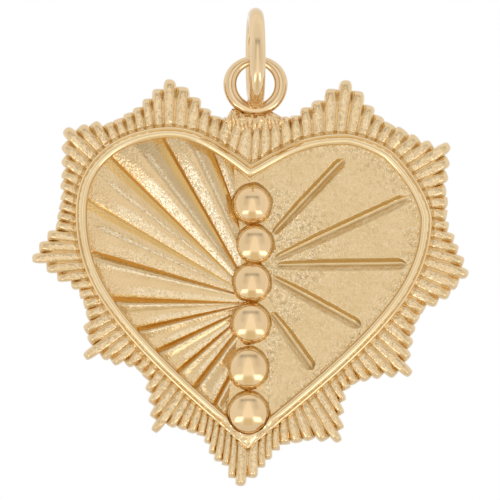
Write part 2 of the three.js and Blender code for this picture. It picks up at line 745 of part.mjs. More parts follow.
function saddle() {
  const middle = (SADDLE_LEFT + SADDLE_RIGHT) / 2;
  const shoulder = SADDLE_TOP - SADDLE_SHOULDER;
  const outline = new THREE.Shape();
  outline.moveTo(SADDLE_LEFT, SADDLE_SEAT);
  outline.lineTo(SADDLE_RIGHT, SADDLE_SEAT);
  outline.lineTo(SADDLE_RIGHT, shoulder);
  outline.quadraticCurveTo(SADDLE_RIGHT, SADDLE_TOP, SADDLE_RIGHT - SADDLE_SHOULDER, SADDLE_TOP);
  outline.quadraticCurveTo(middle, SADDLE_TOP - SADDLE_DIP, SADDLE_LEFT + SADDLE_SHOULDER, SADDLE_TOP);
  outline.quadraticCurveTo(SADDLE_LEFT, SADDLE_TOP, SADDLE_LEFT, shoulder);
  outline.closePath();
  const block = new THREE.ExtrudeGeometry(outline, {
    depth: SADDLE_THICKNESS,
    curveSegments: SADDLE_CURVE_STEPS,
    bevelEnabled: false,
  });
  block.rotateX(Math.PI / 2);
  block.translate(0, SADDLE_THICKNESS / 2, 0);
  return cut(closed(block), fixedRing(FIT_GAP));
}

// Materials

const gold = (color, roughness) => new THREE.MeshStandardMaterial({ color, roughness, metalness: 1 });
const polished = gold(0xe2bd83, 0.18);
const satin = gold(0xd8b378, 0.34);
const frosted = gold(0xd5b27c, 0.42);

// Assembly

const pendant = new THREE.Group();

function add(name, geometry, material) {
  const mesh = new THREE.Mesh(geometry, material);
  mesh.name = name;
  pendant.add(mesh);
  return mesh;
}

add('ray_plate', rayPlate(), satin);
add('pleated_panel', pleatedPanel(), frosted);
add('grooved_panel', groovedPanel(), satin);
add('rim_wire', rimWire(), polished);
BALLS.forEach((ball, i) => {
  add(`ball_${i + 1}`, ballShape(ball), polished).position.set(ball.x, 0, ball.z);
  add(`ball_seat_${i + 1}`, ballSeatShape(ball), satin).position.set(ball.x, 0, ball.z);
});
add('ring_saddle', saddle(), satin);
add('hanging_ring', fixedRing(), polished);

// Where the bail's centre rests, forward of the pivot and above it. The bail hangs on the fixed ring's top wire
// with its play, and is dropped forward until it lies against that ring's bottom wire.
function bailRest() {
  const hang = BAIL_RADIUS - BAIL_WIRE / 2 - RING_WIRE_AT_TOP / 2 - BAIL_PLAY;
  const stop = ringDrop + RING_BORE_RADIUS + RING_WIRE_AT_SIDES / 2;
  const clear = BAIL_RADIUS + BAIL_WIRE / 2 + RING_WIRE_AT_SIDES / 2 + BAIL_REST_GAP;
  const raise = Math.asin((clear ** 2 - hang ** 2 - stop ** 2) / (2 * hang * stop));
  return [-hang * Math.cos(raise), hang * Math.sin(raise)];
}

const bailWire = () => ({ radius: BAIL_RADIUS, wire: BAIL_WIRE });
const bail = add('bail_ring', wireRing(bailWire, BAIL_STEPS, BAIL_SECTION_STEPS), polished);
bail.rotation.set(0, -radians(BAIL_LEAN), Math.PI / 2 + radians(BAIL_YAW), 'YZX');
bail.position.set(0, ...bailRest());
bail.updateMatrix();

const chainSeat = new THREE.Vector3(0, 0, BAIL_RADIUS - BAIL_WIRE / 2).applyMatrix4(bail.matrix);
pendant.position.copy(chainSeat).negate();

export default pendant;
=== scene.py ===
# The looks of a cast gold heart pendant with a fluted ray border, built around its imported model.

import json
import math

import bmesh
import bpy
import numpy as np
from mathutils import Matrix, Vector, noise


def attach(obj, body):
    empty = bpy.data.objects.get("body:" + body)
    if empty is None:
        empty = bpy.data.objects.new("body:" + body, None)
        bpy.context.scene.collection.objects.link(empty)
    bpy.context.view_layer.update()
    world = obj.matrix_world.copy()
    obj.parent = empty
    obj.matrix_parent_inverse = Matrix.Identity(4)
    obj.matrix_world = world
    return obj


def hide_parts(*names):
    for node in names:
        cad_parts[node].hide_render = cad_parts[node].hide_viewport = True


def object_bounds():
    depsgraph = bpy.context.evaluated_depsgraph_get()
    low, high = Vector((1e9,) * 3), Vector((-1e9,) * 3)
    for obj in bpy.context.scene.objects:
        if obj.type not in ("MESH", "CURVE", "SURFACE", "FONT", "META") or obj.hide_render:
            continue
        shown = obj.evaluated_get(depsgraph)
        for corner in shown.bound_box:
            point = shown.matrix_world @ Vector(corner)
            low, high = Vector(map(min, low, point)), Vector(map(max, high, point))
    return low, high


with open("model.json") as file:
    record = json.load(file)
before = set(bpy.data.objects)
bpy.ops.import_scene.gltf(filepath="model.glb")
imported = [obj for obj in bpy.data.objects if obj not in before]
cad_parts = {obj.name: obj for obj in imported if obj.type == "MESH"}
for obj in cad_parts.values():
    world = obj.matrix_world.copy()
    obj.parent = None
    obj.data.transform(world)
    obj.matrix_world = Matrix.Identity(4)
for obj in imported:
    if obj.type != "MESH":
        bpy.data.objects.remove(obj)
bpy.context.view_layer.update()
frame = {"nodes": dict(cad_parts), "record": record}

MM = 0.001

# Places are written about the pivot of the bail: x to the right, z up, and t the height above the flat back.
PIVOT = Vector(frame["record"]["behaviour"]["joints"][0]["pos_m"])
RING_HEIGHT = 0.75


def to_frame(x, t, z):
    """A place on the pendant, in millimetres, as a point of the frame in metres."""
    return np.stack(
        [PIVOT.x + x * MM, PIVOT.y + (RING_HEIGHT - t) * MM, PIVOT.z + z * MM], axis=-1
    )


# Camera

PHOTO_PIXELS = 500
PIXELS_PER_MM = 13.7
PIVOT_PIXEL = (255.5, 60.5)
CAMERA_DISTANCE = 0.5
SENSOR = 36.0
NEAREST = 0.01
FARTHEST = 20


def make_camera():
    middle = PHOTO_PIXELS / 2
    x = PIVOT.x + (middle - PIVOT_PIXEL[0]) / PIXELS_PER_MM * MM
    z = PIVOT.z + (PIVOT_PIXEL[1] - middle) / PIXELS_PER_MM * MM
    data = bpy.data.cameras.new("camera")
    data.sensor_width = SENSOR
    data.lens = SENSOR * CAMERA_DISTANCE / (PHOTO_PIXELS / PIXELS_PER_MM * MM)
    data.clip_start = NEAREST
    data.clip_end = FARTHEST
    camera = bpy.data.objects.new("camera", data)
    camera.location = (x, PIVOT.y - CAMERA_DISTANCE, z)
    camera.rotation_euler = (math.radians(90), 0, 0)
    bpy.context.scene.collection.objects.link(camera)
    bpy.context.scene.camera = camera


# Heart outline, the centreline of the rim wire. Each node is a place, the angle of travel there in degrees,
# and the lengths of its handles before and after. Both sides run from the cleft to the bottom tip.

CLEFT = (-0.4, -8.07)
TIP = (-0.55, -27.77)
LEFT_NODES = [
    (CLEFT, 142, 0, 3.77),
    ((-6.32, -5.26), 180, 1.48, 0.99),
    ((-12.71, -11.14), 270, 5.44, 4.4),
    (TIP, 320, 13.87, 0),
]
RIGHT_NODES = [
    (CLEFT, 24, 0, 1.8),
    ((6.5, -5.76), 0, 3.7, 0.8),
    ((9.8, -7.03), -44, 0.8, 2.8),
    ((12.44, -11.6), -90, 0.6, 5.1),
    (TIP, -141, 11.7, 0),
]
CURVE_STEPS = 400
FAN_RADIUS = 2.5


class Side:
    """One side of the heart, from the cleft to the bottom tip."""

    def __init__(self, nodes, outward):
        runs = []
        for (p0, a0, _, after), (p3, a3, before, _) in zip(nodes, nodes[1:]):
            p0, p3 = np.array(p0), np.array(p3)
            p1 = p0 + after * np.array([math.cos(math.radians(a0)), math.sin(math.radians(a0))])
            p2 = p3 - before * np.array([math.cos(math.radians(a3)), math.sin(math.radians(a3))])
            t = np.linspace(0, 1, CURVE_STEPS + 1)[:, None]
            run = (1 - t) ** 3 * p0 + 3 * (1 - t) ** 2 * t * p1 + 3 * (1 - t) * t**2 * p2 + t**3 * p3
            runs.append(run[1:] if runs else run)
        self.points = np.concatenate(runs)
        steps = np.linalg.norm(np.diff(self.points, axis=0), axis=1)
        self.distances = np.concatenate([[0], np.cumsum(steps)])
        self.length = self.distances[-1]
        self.outward = outward
        run = np.gradient(self.points, axis=0)
        run /= np.linalg.norm(run, axis=1)[:, None]
        self.normals = np.stack([-run[:, 1], run[:, 0]], axis=1) * outward

    def at(self, distance, offset):
        """Points at distances along the side, moved out by offset. Past the tip they turn about it."""
        s = np.asarray(distance, float)
        point = np.stack([np.interp(s, self.distances, self.points[:, k]) for k in (0, 1)], axis=-1)
        normal = np.stack([np.interp(s, self.distances, self.normals[:, k]) for k in (0, 1)], axis=-1)
        normal /= np.linalg.norm(normal, axis=-1, keepdims=True)
        turn = self.outward * (self.length - np.maximum(s, self.length)) / FAN_RADIUS
        c, d = np.cos(turn), np.sin(turn)
        turned = np.stack(
            [normal[..., 0] * c - normal[..., 1] * d, normal[..., 0] * d + normal[..., 1] * c], axis=-1
        )
        return point + turned * np.asarray(offset, float)[..., None]


LEFT = Side(LEFT_NODES, -1)
RIGHT = Side(RIGHT_NODES, 1)
CORNER_REACH = 0.5
NEAR_CORNER = 0.01
SIDE_SAMPLES = 4000


def axis_x(z):
    """The heart's axis joins the cleft and the bottom tip."""
    return CLEFT[0] + (TIP[0] - CLEFT[0]) * (np.asarray(z) - CLEFT[1]) / (TIP[1] - CLEFT[1])


def corner(at_tip, offset):
    """Where the outline moved out by offset meets the axis."""
    near = LEFT.length - NEAR_CORNER if at_tip else NEAR_CORNER
    x, z = LEFT.at(near, offset)
    x_in, z_in = LEFT.at(near - CORNER_REACH if at_tip else near + CORNER_REACH, offset)
    meet = z + (axis_x(z) - x) * (z_in - z) / (x_in - x)
    return np.array([axis_x(meet), meet])


def side_range(side, offset):
    """The stretch of an offset side that stays on its own side of the axis."""
    s = np.linspace(0, side.length, SIDE_SAMPLES // 2)
    points = side.at(s, np.full_like(s, offset))
    own = (points[:, 0] - axis_x(points[:, 1])) * side.outward > 0
    inside = s[own]
    return inside[0], inside[-1]


def heart_loop(offset, count):
    """A closed loop round the heart at an offset, from the cleft down the left side and up the right."""
    halves = []
    for side in (LEFT, RIGHT):
        first, last = side_range(side, offset)
        s = np.linspace(first, last, count + 2)[1:-1]
        halves.append(side.at(s, np.full_like(s, offset)))
    return np.concatenate([[corner(False, offset)], halves[0], [corner(True, offset)], halves[1][::-1]])


# Mesh building

SHARED = 1e-7
SHARP_ANGLE = math.radians(50)


class Skin:
    """Collects grids of points, in metres, into one mesh. Each point has two values from 0 to 1: the first
    says how much of the tone of painted shading the gold has there, painted into hollows and onto crease and
    groove walls, and grain how rough the casting is; along the pleats' ridges grain also carries a painted
    highlight."""

    def __init__(self):
        self.points = []
        self.values = {"painted_shading": [], "grain": []}
        self.faces = []
        self.count = 0

    def add(self, points, painted_shading, grain):
        points = np.asarray(points, float).reshape(-1, 3)
        first = self.count
        self.points.append(points)
        for key, value in (("painted_shading", painted_shading), ("grain", grain)):
            self.values[key].append(np.broadcast_to(np.asarray(value, float).reshape(-1), len(points)))
        self.count += len(points)
        return first

    def grid(self, points, painted_shading=0.0, grain=0.0, wrap=False):
        """points has rows and columns, and wrap joins the last column to the first."""
        rows, columns = points.shape[:2]
        painted_shading, grain = (np.broadcast_to(v, (rows, columns)) for v in (painted_shading, grain))
        first = self.add(points, painted_shading, grain)
        index = first + np.arange(rows * columns).reshape(rows, columns)
        following = np.roll(index, -1, axis=1)
        if not wrap:
            index, following = index[:, :-1], following[:, :-1]
        quads = np.stack([index[:-1], following[:-1], following[1:], index[1:]], axis=-1).reshape(-1, 4)
        self.faces.extend(quads.tolist())

    def cap(self, loop):
        first = self.add(loop, 0.0, 0.0)
        self.faces.append(list(range(first, first + len(loop))))

    def object(self, name):
        mesh = bpy.data.meshes.new(name)
        mesh.from_pydata(np.concatenate(self.points).tolist(), [], self.faces)
        for key, parts in self.values.items():
            mesh.attributes.new(key, "FLOAT", "POINT").data.foreach_set("value", np.concatenate(parts))
        work = bmesh.new()
        work.from_mesh(mesh)
        bmesh.ops.remove_doubles(work, verts=work.verts, dist=SHARED)
        bmesh.ops.dissolve_degenerate(work, edges=work.edges, dist=SHARED)
        bmesh.ops.recalc_face_normals(work, faces=work.faces)
        for face in work.faces:
            face.smooth = True
        for edge in work.edges:
            if len(edge.link_faces) == 2:
                edge.smooth = edge.calc_face_angle(0) < SHARP_ANGLE
        work.to_mesh(mesh)
        work.free()
        piece = bpy.data.objects.new(name, mesh)
        bpy.context.scene.collection.objects.link(piece)
        return piece


def progress(value, start, end):
    """How far value has come from start to end, from 0 to 1."""
    return np.clip((value - start) / (end - start), 0, 1)


def wander(x, z, scale, seed):
    """Smooth noise from -1 to 1 over the face, with scale waves to the millimetre."""
    flat = zip(np.ravel(x) * scale, np.ravel(z) * scale)
    values = [noise.noise(Vector((a, b, seed))) for a, b in flat]
    return np.array(values).reshape(np.shape(x))


# Heights above the flat back, and gaps

PLATE_FLOOR = 0.8
LAND_HEIGHT = 1.2
FIT_GAP = 0.002
RIM_WIDTH = 0.88
RAY_ROOT = RIM_WIDTH / 2 + FIT_GAP
PANEL_TUCK = 0.04
PANEL_EDGE = -RIM_WIDTH / 2 + PANEL_TUCK


# Ray border

# Rays that have their own place: how far along the side each starts and ends, its reach from the rim, and the
# reaches of the rays that follow it, evenly spaced.
LEFT_STAR = [
    (1.2, 2.0, 2.45, [2.18, 2.01, 1.64, 1.87, 2.42, 3.01]),
    (6.74, 6.65, 3.5, [2.84, 2.23, 1.76, 1.55, 1.4, 1.44, 2.02, 2.41]),
    (12.37, 12.28, 3.03, [2.42, 1.9, 1.5, 1.36, 1.15, 1.2, 1.33, 1.45, 2.15, 2.86]),
    (19.48, 18.97, 3.52, [2.69, 2.16, 1.42, 1.15, 1.26, 1.52, 2.24, 2.48]),
    (25.64, 25.37, 3.45, [2.5, 2.18, 1.53, 1.19, 1.23, 1.78, 2.28, 2.94]),
    (31.81, 32.17, 3.61, [2.55, 2.16, 1.88, 1.55, 1.68, 2.08, 2.2, 2.0, 2.6]),
    (37.4, 39.08, 2.95, []),
]
RIGHT_STAR = [
    (0.6, 2.1, 2.42, [2.22, 2.06]),
    (3.29, 3.79, 2.03, [1.85]),
    (4.75, 5, 2.26, [2.6, 3.34]),
    (7.13, 7.42, 3.93, []),
    (7.82, 7.82, 3.23, [2.4, 1.9]),
    (9.85, 9.94, 1.7, [1.82, 2.05, 2.52]),
    (12.61, 12.85, 3.46, [2.79, 2.17, 1.62]),
    (15.27, 15.63, 1.42, [1.15, 1.28, 1.77, 2.18, 2.77]),
    (19.3, 19.24, 3.34, [2.9, 2.65, 2.15, 1.6, 1.66, 1.94, 2.42, 2.92]),
    (26.1, 26, 3.82, [3.06, 2.38, 1.9]),
    (28.81, 29.15, 1.48, [1.38, 1.86, 2.5, 3.3]),
    (32.2, 32.65, 3.9, [3.15, 2.44, 2.0, 1.5, 1.38, 1.6, 1.8]),
    (37.4, 39.1, 2.35, []),
]
RAY_ROOT_HEIGHT = 1.38
RAY_TOP_HEIGHT = 1.5
RAY_EDGE_HEIGHT = 0.5
RAY_BACK_INSET = 0.08
RAY_TIP_ROUNDING = 0.36
RAY_TIP_DOME = 0.3
RAY_TIP_ROUND = 0.16
RAY_DOME_LENGTH = 0.95
RAY_ROOT_DIP = 0.1
RAY_ROOT_DIP_LENGTH = 0.26
VALLEY_SETBACK = 0.18
RAY_SHORTER = 0.03
LEAST_TIP = 0.05
# Section of a ray: share of its half width from the middle, and depth below the crest.
RAY_SECTION = np.array([
    (0.0, 0.0), (0.25, 0.005), (0.45, 0.018), (0.6, 0.042), (0.72, 0.076), (0.82, 0.115), (0.9, 0.153),
    (0.96, 0.185), (1.0, 0.205),
])
ACROSS = RAY_SECTION[::-1, 0]
ALONG_TIP = 12
ALONG_BODY = 22
RAY_WAVE = 0.03
RAY_WAVES = (1.6, 3.0)
# Grain of a ray: where along it the grain falls and how far, how much of the tip is smooth, and the flanks.
GRAIN_ALONG = ((0.78, 1.43), (1.0, 0.75))
SMOOTH_TIP = (0.45, 0.95)
SMOOTH_FLANK = (0.4, 0.8)
FLANK_LOSS = 0.75
SADDLE_SEAT = -4.6
SADDLE_LEFT = -1.95
SADDLE_RIGHT = 1.3
SEAT_MARGIN = 0.2


class Ray:
    """The middle line of one ray, from its root at the rim to its tip."""

    def __init__(self, side, root, tip, reach):
        self.side = side
        self.root = root
        self.start = side.at(root, RAY_ROOT)
        self.end = side.at(tip, RAY_ROOT + reach - RAY_SHORTER)
        self.length = np.linalg.norm(self.end - self.start)
        self.run = (self.end - self.start) / self.length

    def at(self, distance):
        return self.start + self.run * distance


def rays_of(side, star):
    rays = []
    for a, b in zip(star, star[1:] + star[-1:]):
        reaches = [a[2], *a[3]]
        for k, reach in enumerate(reaches):
            share = k / len(reaches)
            rays.append(Ray(side, a[0] + (b[0] - a[0]) * share, a[1] + (b[1] - a[1]) * share, reach))
    return rays


def valley(a, b):
    """Where the valley between two rays leaves the rim, where it ends, how far that is and its half width."""
    if a.side is b.side:
        foot = a.side.at((a.root + b.root) / 2, RAY_ROOT)
    else:
        foot = corner(a.root > FAN_RADIUS, RAY_ROOT)
    short = min(a.length, b.length)
    reach = short - VALLEY_SETBACK * np.linalg.norm(a.at(short) - b.at(short)) / 2
    p, q = a.at(reach), b.at(reach)
    return foot, (p + q) / 2, reach, np.linalg.norm(p - q) / 2


def ray_border():
    rays = rays_of(LEFT, LEFT_STAR) + rays_of(RIGHT, RIGHT_STAR)[::-1]
    feet, ends, across = [], [], []
    for i, ray in enumerate(rays):
        for side, other in ((-1, rays[i - 1]), (1, rays[(i + 1) % len(rays)])):
            foot, end, reach, half = valley(ray, other) if side > 0 else valley(other, ray)
            sideways = end - ray.at(reach)
            sideways -= ray.run * np.dot(sideways, ray.run)
            sideways /= np.linalg.norm(sideways)
            rise = max(ray.length - reach, LEAST_TIP)
            # The tip is an ellipse, or squarer where it is longer than half its width.
            power = 2 + 2 * max(rise / half - 1, 0)
            shares = ACROSS if side < 0 else ACROSS[::-1][1:-1]
            for w in shares:
                out = reach + rise * np.sqrt(1 - w**power)
                place = ray.at(out) + sideways * w * half
                ends.append(end if w == 1 else place)
                feet.append(ray.start + (foot - ray.start) * w)
                across.append(w)
    feet, ends, across = (np.array(v) for v in (feet, ends, across))
    lengths = np.linalg.norm(ends - feet, axis=1)

    tip = RAY_TIP_ROUNDING * (1 - np.cos(np.linspace(0, math.pi / 2, ALONG_TIP + 1)[:, None]))
    body = np.linspace(1, 0, ALONG_BODY + 1)[:-1, None]
    from_end = np.concatenate(
        [RAY_TIP_ROUNDING + (lengths - RAY_TIP_ROUNDING) * body, tip[::-1] * np.ones(len(lengths))]
    )
    share = 1 - from_end / lengths
    x = feet[:, 0] + (ends - feet)[:, 0] * share
    z = feet[:, 1] + (ends - feet)[:, 1] * share
    under = (x > SADDLE_LEFT - SEAT_MARGIN) & (x < SADDLE_RIGHT + SEAT_MARGIN)
    z = np.where(under, np.minimum(z, SADDLE_SEAT), z)

    depth = np.interp(across, RAY_SECTION[:, 0], RAY_SECTION[:, 1])
    crest = RAY_ROOT_HEIGHT + (RAY_TOP_HEIGHT - RAY_ROOT_HEIGHT) * share
    height = crest - depth + RAY_WAVE * wander(x, z, *RAY_WAVES) * (1 - across)
    near_tip = np.clip(RAY_DOME_LENGTH - from_end, 0, 1)
    height -= RAY_TIP_DOME * near_tip**2 + RAY_TIP_ROUND * across**2 * np.clip(near_tip * 2, 0, 1)
    from_root = share * lengths
    near_root = progress(from_root, RAY_ROOT_DIP_LENGTH, 0)
    height -= RAY_ROOT_DIP * near_root**2 * (3 - 2 * near_root)
    fall = np.sqrt(np.clip(1 - (1 - np.minimum(from_end / RAY_TIP_ROUNDING, 1)) ** 2, 0, 1))
    height = RAY_EDGE_HEIGHT + (height - RAY_EDGE_HEIGHT) * fall
    # Painted light: the valleys between rays and the roots by the rim take the paler tone, which lifts their
    # shade.
    painted_shading = np.maximum(depth / RAY_SECTION[-1, 1], near_root)
    grain = np.interp(from_root, *GRAIN_ALONG) * progress(from_end, *SMOOTH_TIP)
    grain *= 1 - FLANK_LOSS * progress(across, *SMOOTH_FLANK)

    skin = Skin()
    top = to_frame(x, height, z)
    root = to_frame(x[:1], np.full_like(x[:1], PLATE_FLOOR), z[:1])
    inset = RAY_BACK_INSET / lengths
    back_x = x[-1] + (feet - ends)[:, 0] * inset
    back_z = z[-1] + (feet - ends)[:, 1] * inset
    back = to_frame(back_x, np.zeros(len(lengths)), back_z)
    rows = np.concatenate([root, top, back[None]])
    skin.grid(
        rows,
        np.concatenate([painted_shading[:1], painted_shading, painted_shading[-1:] * 0]),
        np.concatenate([grain[:1], grain, grain[-1:]]),
        wrap=True,
    )
    skin.cap(root[0])
    skin.cap(back)
    return skin.object("ray_border")


# Rim wire

# Section of the rim: distance out from its centreline, and height.
RIM_PROFILE = [
    (0.44, 0.8), (0.44, 1.3), (0.435, 1.45), (0.41, 1.57), (0.37, 1.65), (0.31, 1.7), (0.265, 1.71),
    (0.235, 1.67), (0.2, 1.71), (0.15, 1.79), (0.08, 1.885), (0.02, 1.94), (-0.05, 1.975), (-0.12, 1.985),
    (-0.2, 1.965), (-0.28, 1.925), (-0.34, 1.87), (-0.38, 1.79), (-0.41, 1.67), (-0.43, 1.52),
    (-0.44, 1.35), (-0.44, 0.8),
]
RIM_SHOULDER = 1.3
# Heights over which the painted light of the rim comes in: a paler tone on its low sides that lifts their
# shade.
RIM_PAINTED_LIGHT = (2.0, 1.4)
RIM_WAVE = 0.02
RIM_WAVES = (0.8, 7.0)
RIM_STATIONS = 260
# The rim is half melted from this height down to its bottom tip.
MELT_TOP = -25.9
MELT_LENGTH = 1.3
MELT_DROP = 0.45
MELT_WAVE = 0.12
MELT_LUMP = 0.14
MELT_LUMPS = (2.4, 9.0)
# Balls: place, diameter, how strongly the crown curves at its edge, and how far the face leans up.
BALLS = [
    (-0.24, -10.46, 2.53, 0.776, 0.012),
    (-0.05, -13.41, 2.41, 0.61, -0.061),
    (-0.26, -16.17, 2.48, 0.7, 0.0),
    (-0.34, -19.16, 2.56, 0.62, -0.085),
    (-0.51, -22.44, 2.66, 0.585, -0.097),
    (-0.53, -25.73, 2.77, 0.658, -0.19),
]
BALL_TALL = 1.2
BALL_SHOULDER = 0.95
BALL_WAIST = 0.45
BALL_FOOT = 0.97
SEAT_WALL = 0.12
SEAT_WIDTH = 0.27
SEAT_OVERLAP = 0.02
SEAT_FOOT = 0.95
SEAT_GAP = 0.02
SEAT_TALL = 0.42


def clear_of_last_ball(x, z):
    """Moves points out of the round pocket that the last ball and its seat take."""
    bx, bz, diameter = BALLS[-1][:3]
    room = diameter / 2 + SEAT_GAP + SEAT_WALL + FIT_GAP
    reach = np.hypot(x - bx, z - bz)
    push = np.maximum(room / reach, 1)
    return bx + (x - bx) * push, bz + (z - bz) * push


def rim_wire():
    profile = np.array(RIM_PROFILE + RIM_PROFILE[:1])
    rows, grain = [], []
    for offset, height in profile:
        loop = heart_loop(offset, RIM_STATIONS)
        x, z = loop[:, 0], loop[:, 1]
        if height > LAND_HEIGHT:
            x, z = clear_of_last_ball(x, z)
        melt = progress(z, MELT_TOP, MELT_TOP - MELT_LENGTH)
        t = np.full_like(z, height)
        if height > RIM_SHOULDER:
            t += (RIM_WAVE + MELT_WAVE * melt) * wander(x, z, *RIM_WAVES)
            t += MELT_LUMP * melt * wander(x, z, *MELT_LUMPS) - MELT_DROP * melt * (height - RIM_SHOULDER)
        rows.append(to_frame(x, t, z))
        grain.append(melt)
    # Painted light: the lower parts of the rim's section take a paler tone, which lifts their shade.
    painted_shading = progress(profile[:, 1], *RIM_PAINTED_LIGHT)[:, None]
    skin = Skin()
    skin.grid(np.array(rows), painted_shading, np.array(grain), wrap=True)
    return skin.object("rim")


# Panels

LAND_TOP = (-0.13, -10.46)
LAND_BOTTOM = (-0.53, -25.73)
LAND_HALF_WIDTH = 1.56
RUN_ON_LEFT = 1.5
RUN_ON_RIGHT = 0.75
SHORT_OF_AXIS = 0.25
LAND_TOP_MARGIN = 0.3
LAND_BOTTOM_MARGIN = 0.6
LAND_FLATS = 6
CORNER_CLEARANCE = 0.04
LEAST_LENGTH = 0.01
MOST_RUN_ON = 0.3
LAND_STEP = 0.03
# The land and the hidden walls of a panel take a share of its orange painted shade; the land has as much
# grain.
LAND_SHADE_AND_GRAIN = 0.5
PANEL_WAVE = 0.03
# Creases of the left half: how far along the rim each starts, and its height at the balls.
CREASES = [
    (3.02, -10.4), (7.16, -14.4), (11.51, -15.65), (15.4, -16.27), (19.35, -16.85), (23.29, -17.68),
    (26.16, -18.05), (28.33, -18.65), (30.47, -19.45), (32.13, -20.5), (34.11, -23.2),
]
# Grooves of the right half: the same, then where along its line each starts and stops, and how wide it is.
GROOVES = [
    (8.36, -12.6, 0.13, 0.935, 1.25),
    (14.32, -14.55, 0.03, 0.93, 1.35),
    (19.86, -15.0, 0.03, 0.915, 1.3),
    (25.87, -15.9, 0.05, 0.92, 1.3),
    (30.8, -18.5, 0.09, 0.905, 1.3),
]


def land_edge(z, outward):
    t = (np.asarray(z) - LAND_TOP[1]) / (LAND_BOTTOM[1] - LAND_TOP[1])
    return LAND_TOP[0] + (LAND_BOTTOM[0] - LAND_TOP[0]) * t + outward * LAND_HALF_WIDTH


def land_crossings(side):
    """Distances along a side at which the panel's edge crosses the edge of the land, top and bottom."""
    s = np.linspace(0, side.length, SIDE_SAMPLES)
    points = side.at(s, np.full_like(s, PANEL_EDGE))
    beyond = (points[:, 0] - land_edge(points[:, 1], side.outward)) * side.outward > 0
    return s[beyond][0], s[beyond][-1]


class Panel:
    """The lines of one half of the face, from the rim to the land beside the balls and on to the axis."""

    def __init__(self, side):
        self.side = side
        self.run_on = RUN_ON_LEFT if side is LEFT else RUN_ON_RIGHT
        self.first, self.last = land_crossings(side)
        self.top = corner(False, PANEL_EDGE)
        self.tip = corner(True, PANEL_EDGE)
        self.outer, self.inner, self.axis = [], [], []

    def column_at(self, s):
        return self.side.at(s, PANEL_EDGE)[1]

    def add(self, rim, column):
        outer = self.side.at(rim, PANEL_EDGE)
        inner = np.array([land_edge(column, self.side.outward), column])
        run = inner - outer
        length = np.linalg.norm(run)
        if length > LEAST_LENGTH:
            to_axis = (LAND_HALF_WIDTH - SHORT_OF_AXIS) / max(abs(run[0]) / length, LEAST_LENGTH)
            inner = inner + run / length * min(self.run_on, length * MOST_RUN_ON, to_axis)
        self.outer.append(outer)
        self.inner.append(inner)
        z = np.clip(inner[1], self.tip[1] + LAND_BOTTOM_MARGIN, self.top[1] - LAND_TOP_MARGIN)
        self.axis.append(np.array([axis_x(z), z]))

    def add_flat(self, rim, axis_z):
        point = self.side.at(rim, PANEL_EDGE)
        self.outer.append(point)
        self.inner.append(point)
        self.axis.append(np.array([axis_x(axis_z), axis_z]))

    def add_corner(self, point, drop):
        p = point + np.array([0.0, drop])
        for line in (self.outer, self.inner, self.axis):
            line.append(p)

    def flats_before(self):
        self.add_corner(self.top, -CORNER_CLEARANCE)
        for k in range(1, LAND_FLATS):
            t = k / LAND_FLATS
            start = side_range(self.side, PANEL_EDGE)[0] + CORNER_CLEARANCE
            self.add_flat(start + (self.first - start) * t, self.top[1] - LAND_TOP_MARGIN * t)
        return LAND_FLATS

    def flats_after(self):
        for k in range(LAND_FLATS - 1, 0, -1):
            t = k / LAND_FLATS
            start = side_range(self.side, PANEL_EDGE)[1] - CORNER_CLEARANCE
            self.add_flat(start + (self.last - start) * t, self.tip[1] + LAND_BOTTOM_MARGIN * t)
        self.add_corner(self.tip, CORNER_CLEARANCE)
        return LAND_FLATS

    def lines(self):
        return (np.array(v) for v in (self.outer, self.inner, self.axis))


def panel_mesh(name, x, z, t, axis, painted_shading, grain):
    """Closes a panel under the points of its face: land that runs on to the axis, walls and an underside."""
    x = np.concatenate([x, x[-1:] + (axis[:, 0] - x[-1:]) * LAND_STEP, axis[None, :, 0]])
    z = np.concatenate([z, z[-1:] + (axis[:, 1] - z[-1:]) * LAND_STEP, axis[None, :, 1]])
    # The land takes a share of the orange painted shade, and the same value of grain.
    land = np.full_like(x[-2:], LAND_SHADE_AND_GRAIN)
    t = np.concatenate([t, t[-1:], np.full_like(t[-1:], LAND_HEIGHT)])
    painted_shading = np.concatenate([painted_shading, land])
    grain = np.concatenate([grain, land])
    skin = Skin()
    face = to_frame(x, t, z)
    skin.grid(face, painted_shading, grain)
    edge = np.concatenate([face[0], face[-1][::-1]])
    foot = edge.copy()
    foot[:, 1] = PIVOT.y + (RING_HEIGHT - PLATE_FLOOR) * MM
    skin.grid(np.array([edge, foot]), LAND_SHADE_AND_GRAIN, wrap=True)
    skin.cap(foot)
    return skin.object(name)


PLEAT_ROWS = 80
# Section of a pleat from its steep side: share of its width and of its rise.
PLEAT_SECTION = np.array([
    (0.0, 0.0), (0.012, 0.07), (0.025, 0.14), (0.05, 0.2), (0.1, 0.31), (0.15, 0.42), (0.19, 0.5),
    (0.23, 0.56), (0.3, 0.66), (0.38, 0.78), (0.45, 0.89), (0.5, 0.965), (0.53, 0.995), (0.56, 1.0),
    (0.62, 0.98), (0.68, 0.935), (0.74, 0.86), (0.79, 0.765), (0.84, 0.645), (0.88, 0.535), (0.92, 0.42),
    (0.95, 0.325), (0.97, 0.23), (0.985, 0.11), (1.0, 0.0),
])
# The same for the lower pleats, from the upper side of each.
LOWER_SECTION = np.array([
    (0.0, 0.0), (0.015, 0.08), (0.03, 0.17), (0.05, 0.3), (0.08, 0.5), (0.11, 0.7), (0.14, 0.85),
    (0.165, 0.94), (0.19, 0.985), (0.215, 1.0), (0.24, 0.99), (0.28, 0.94), (0.34, 0.84), (0.4, 0.735),
    (0.46, 0.64), (0.52, 0.57), (0.6, 0.51), (0.7, 0.455), (0.8, 0.41), (0.88, 0.36), (0.93, 0.29),
    (0.965, 0.19), (1.0, 0.0),
])
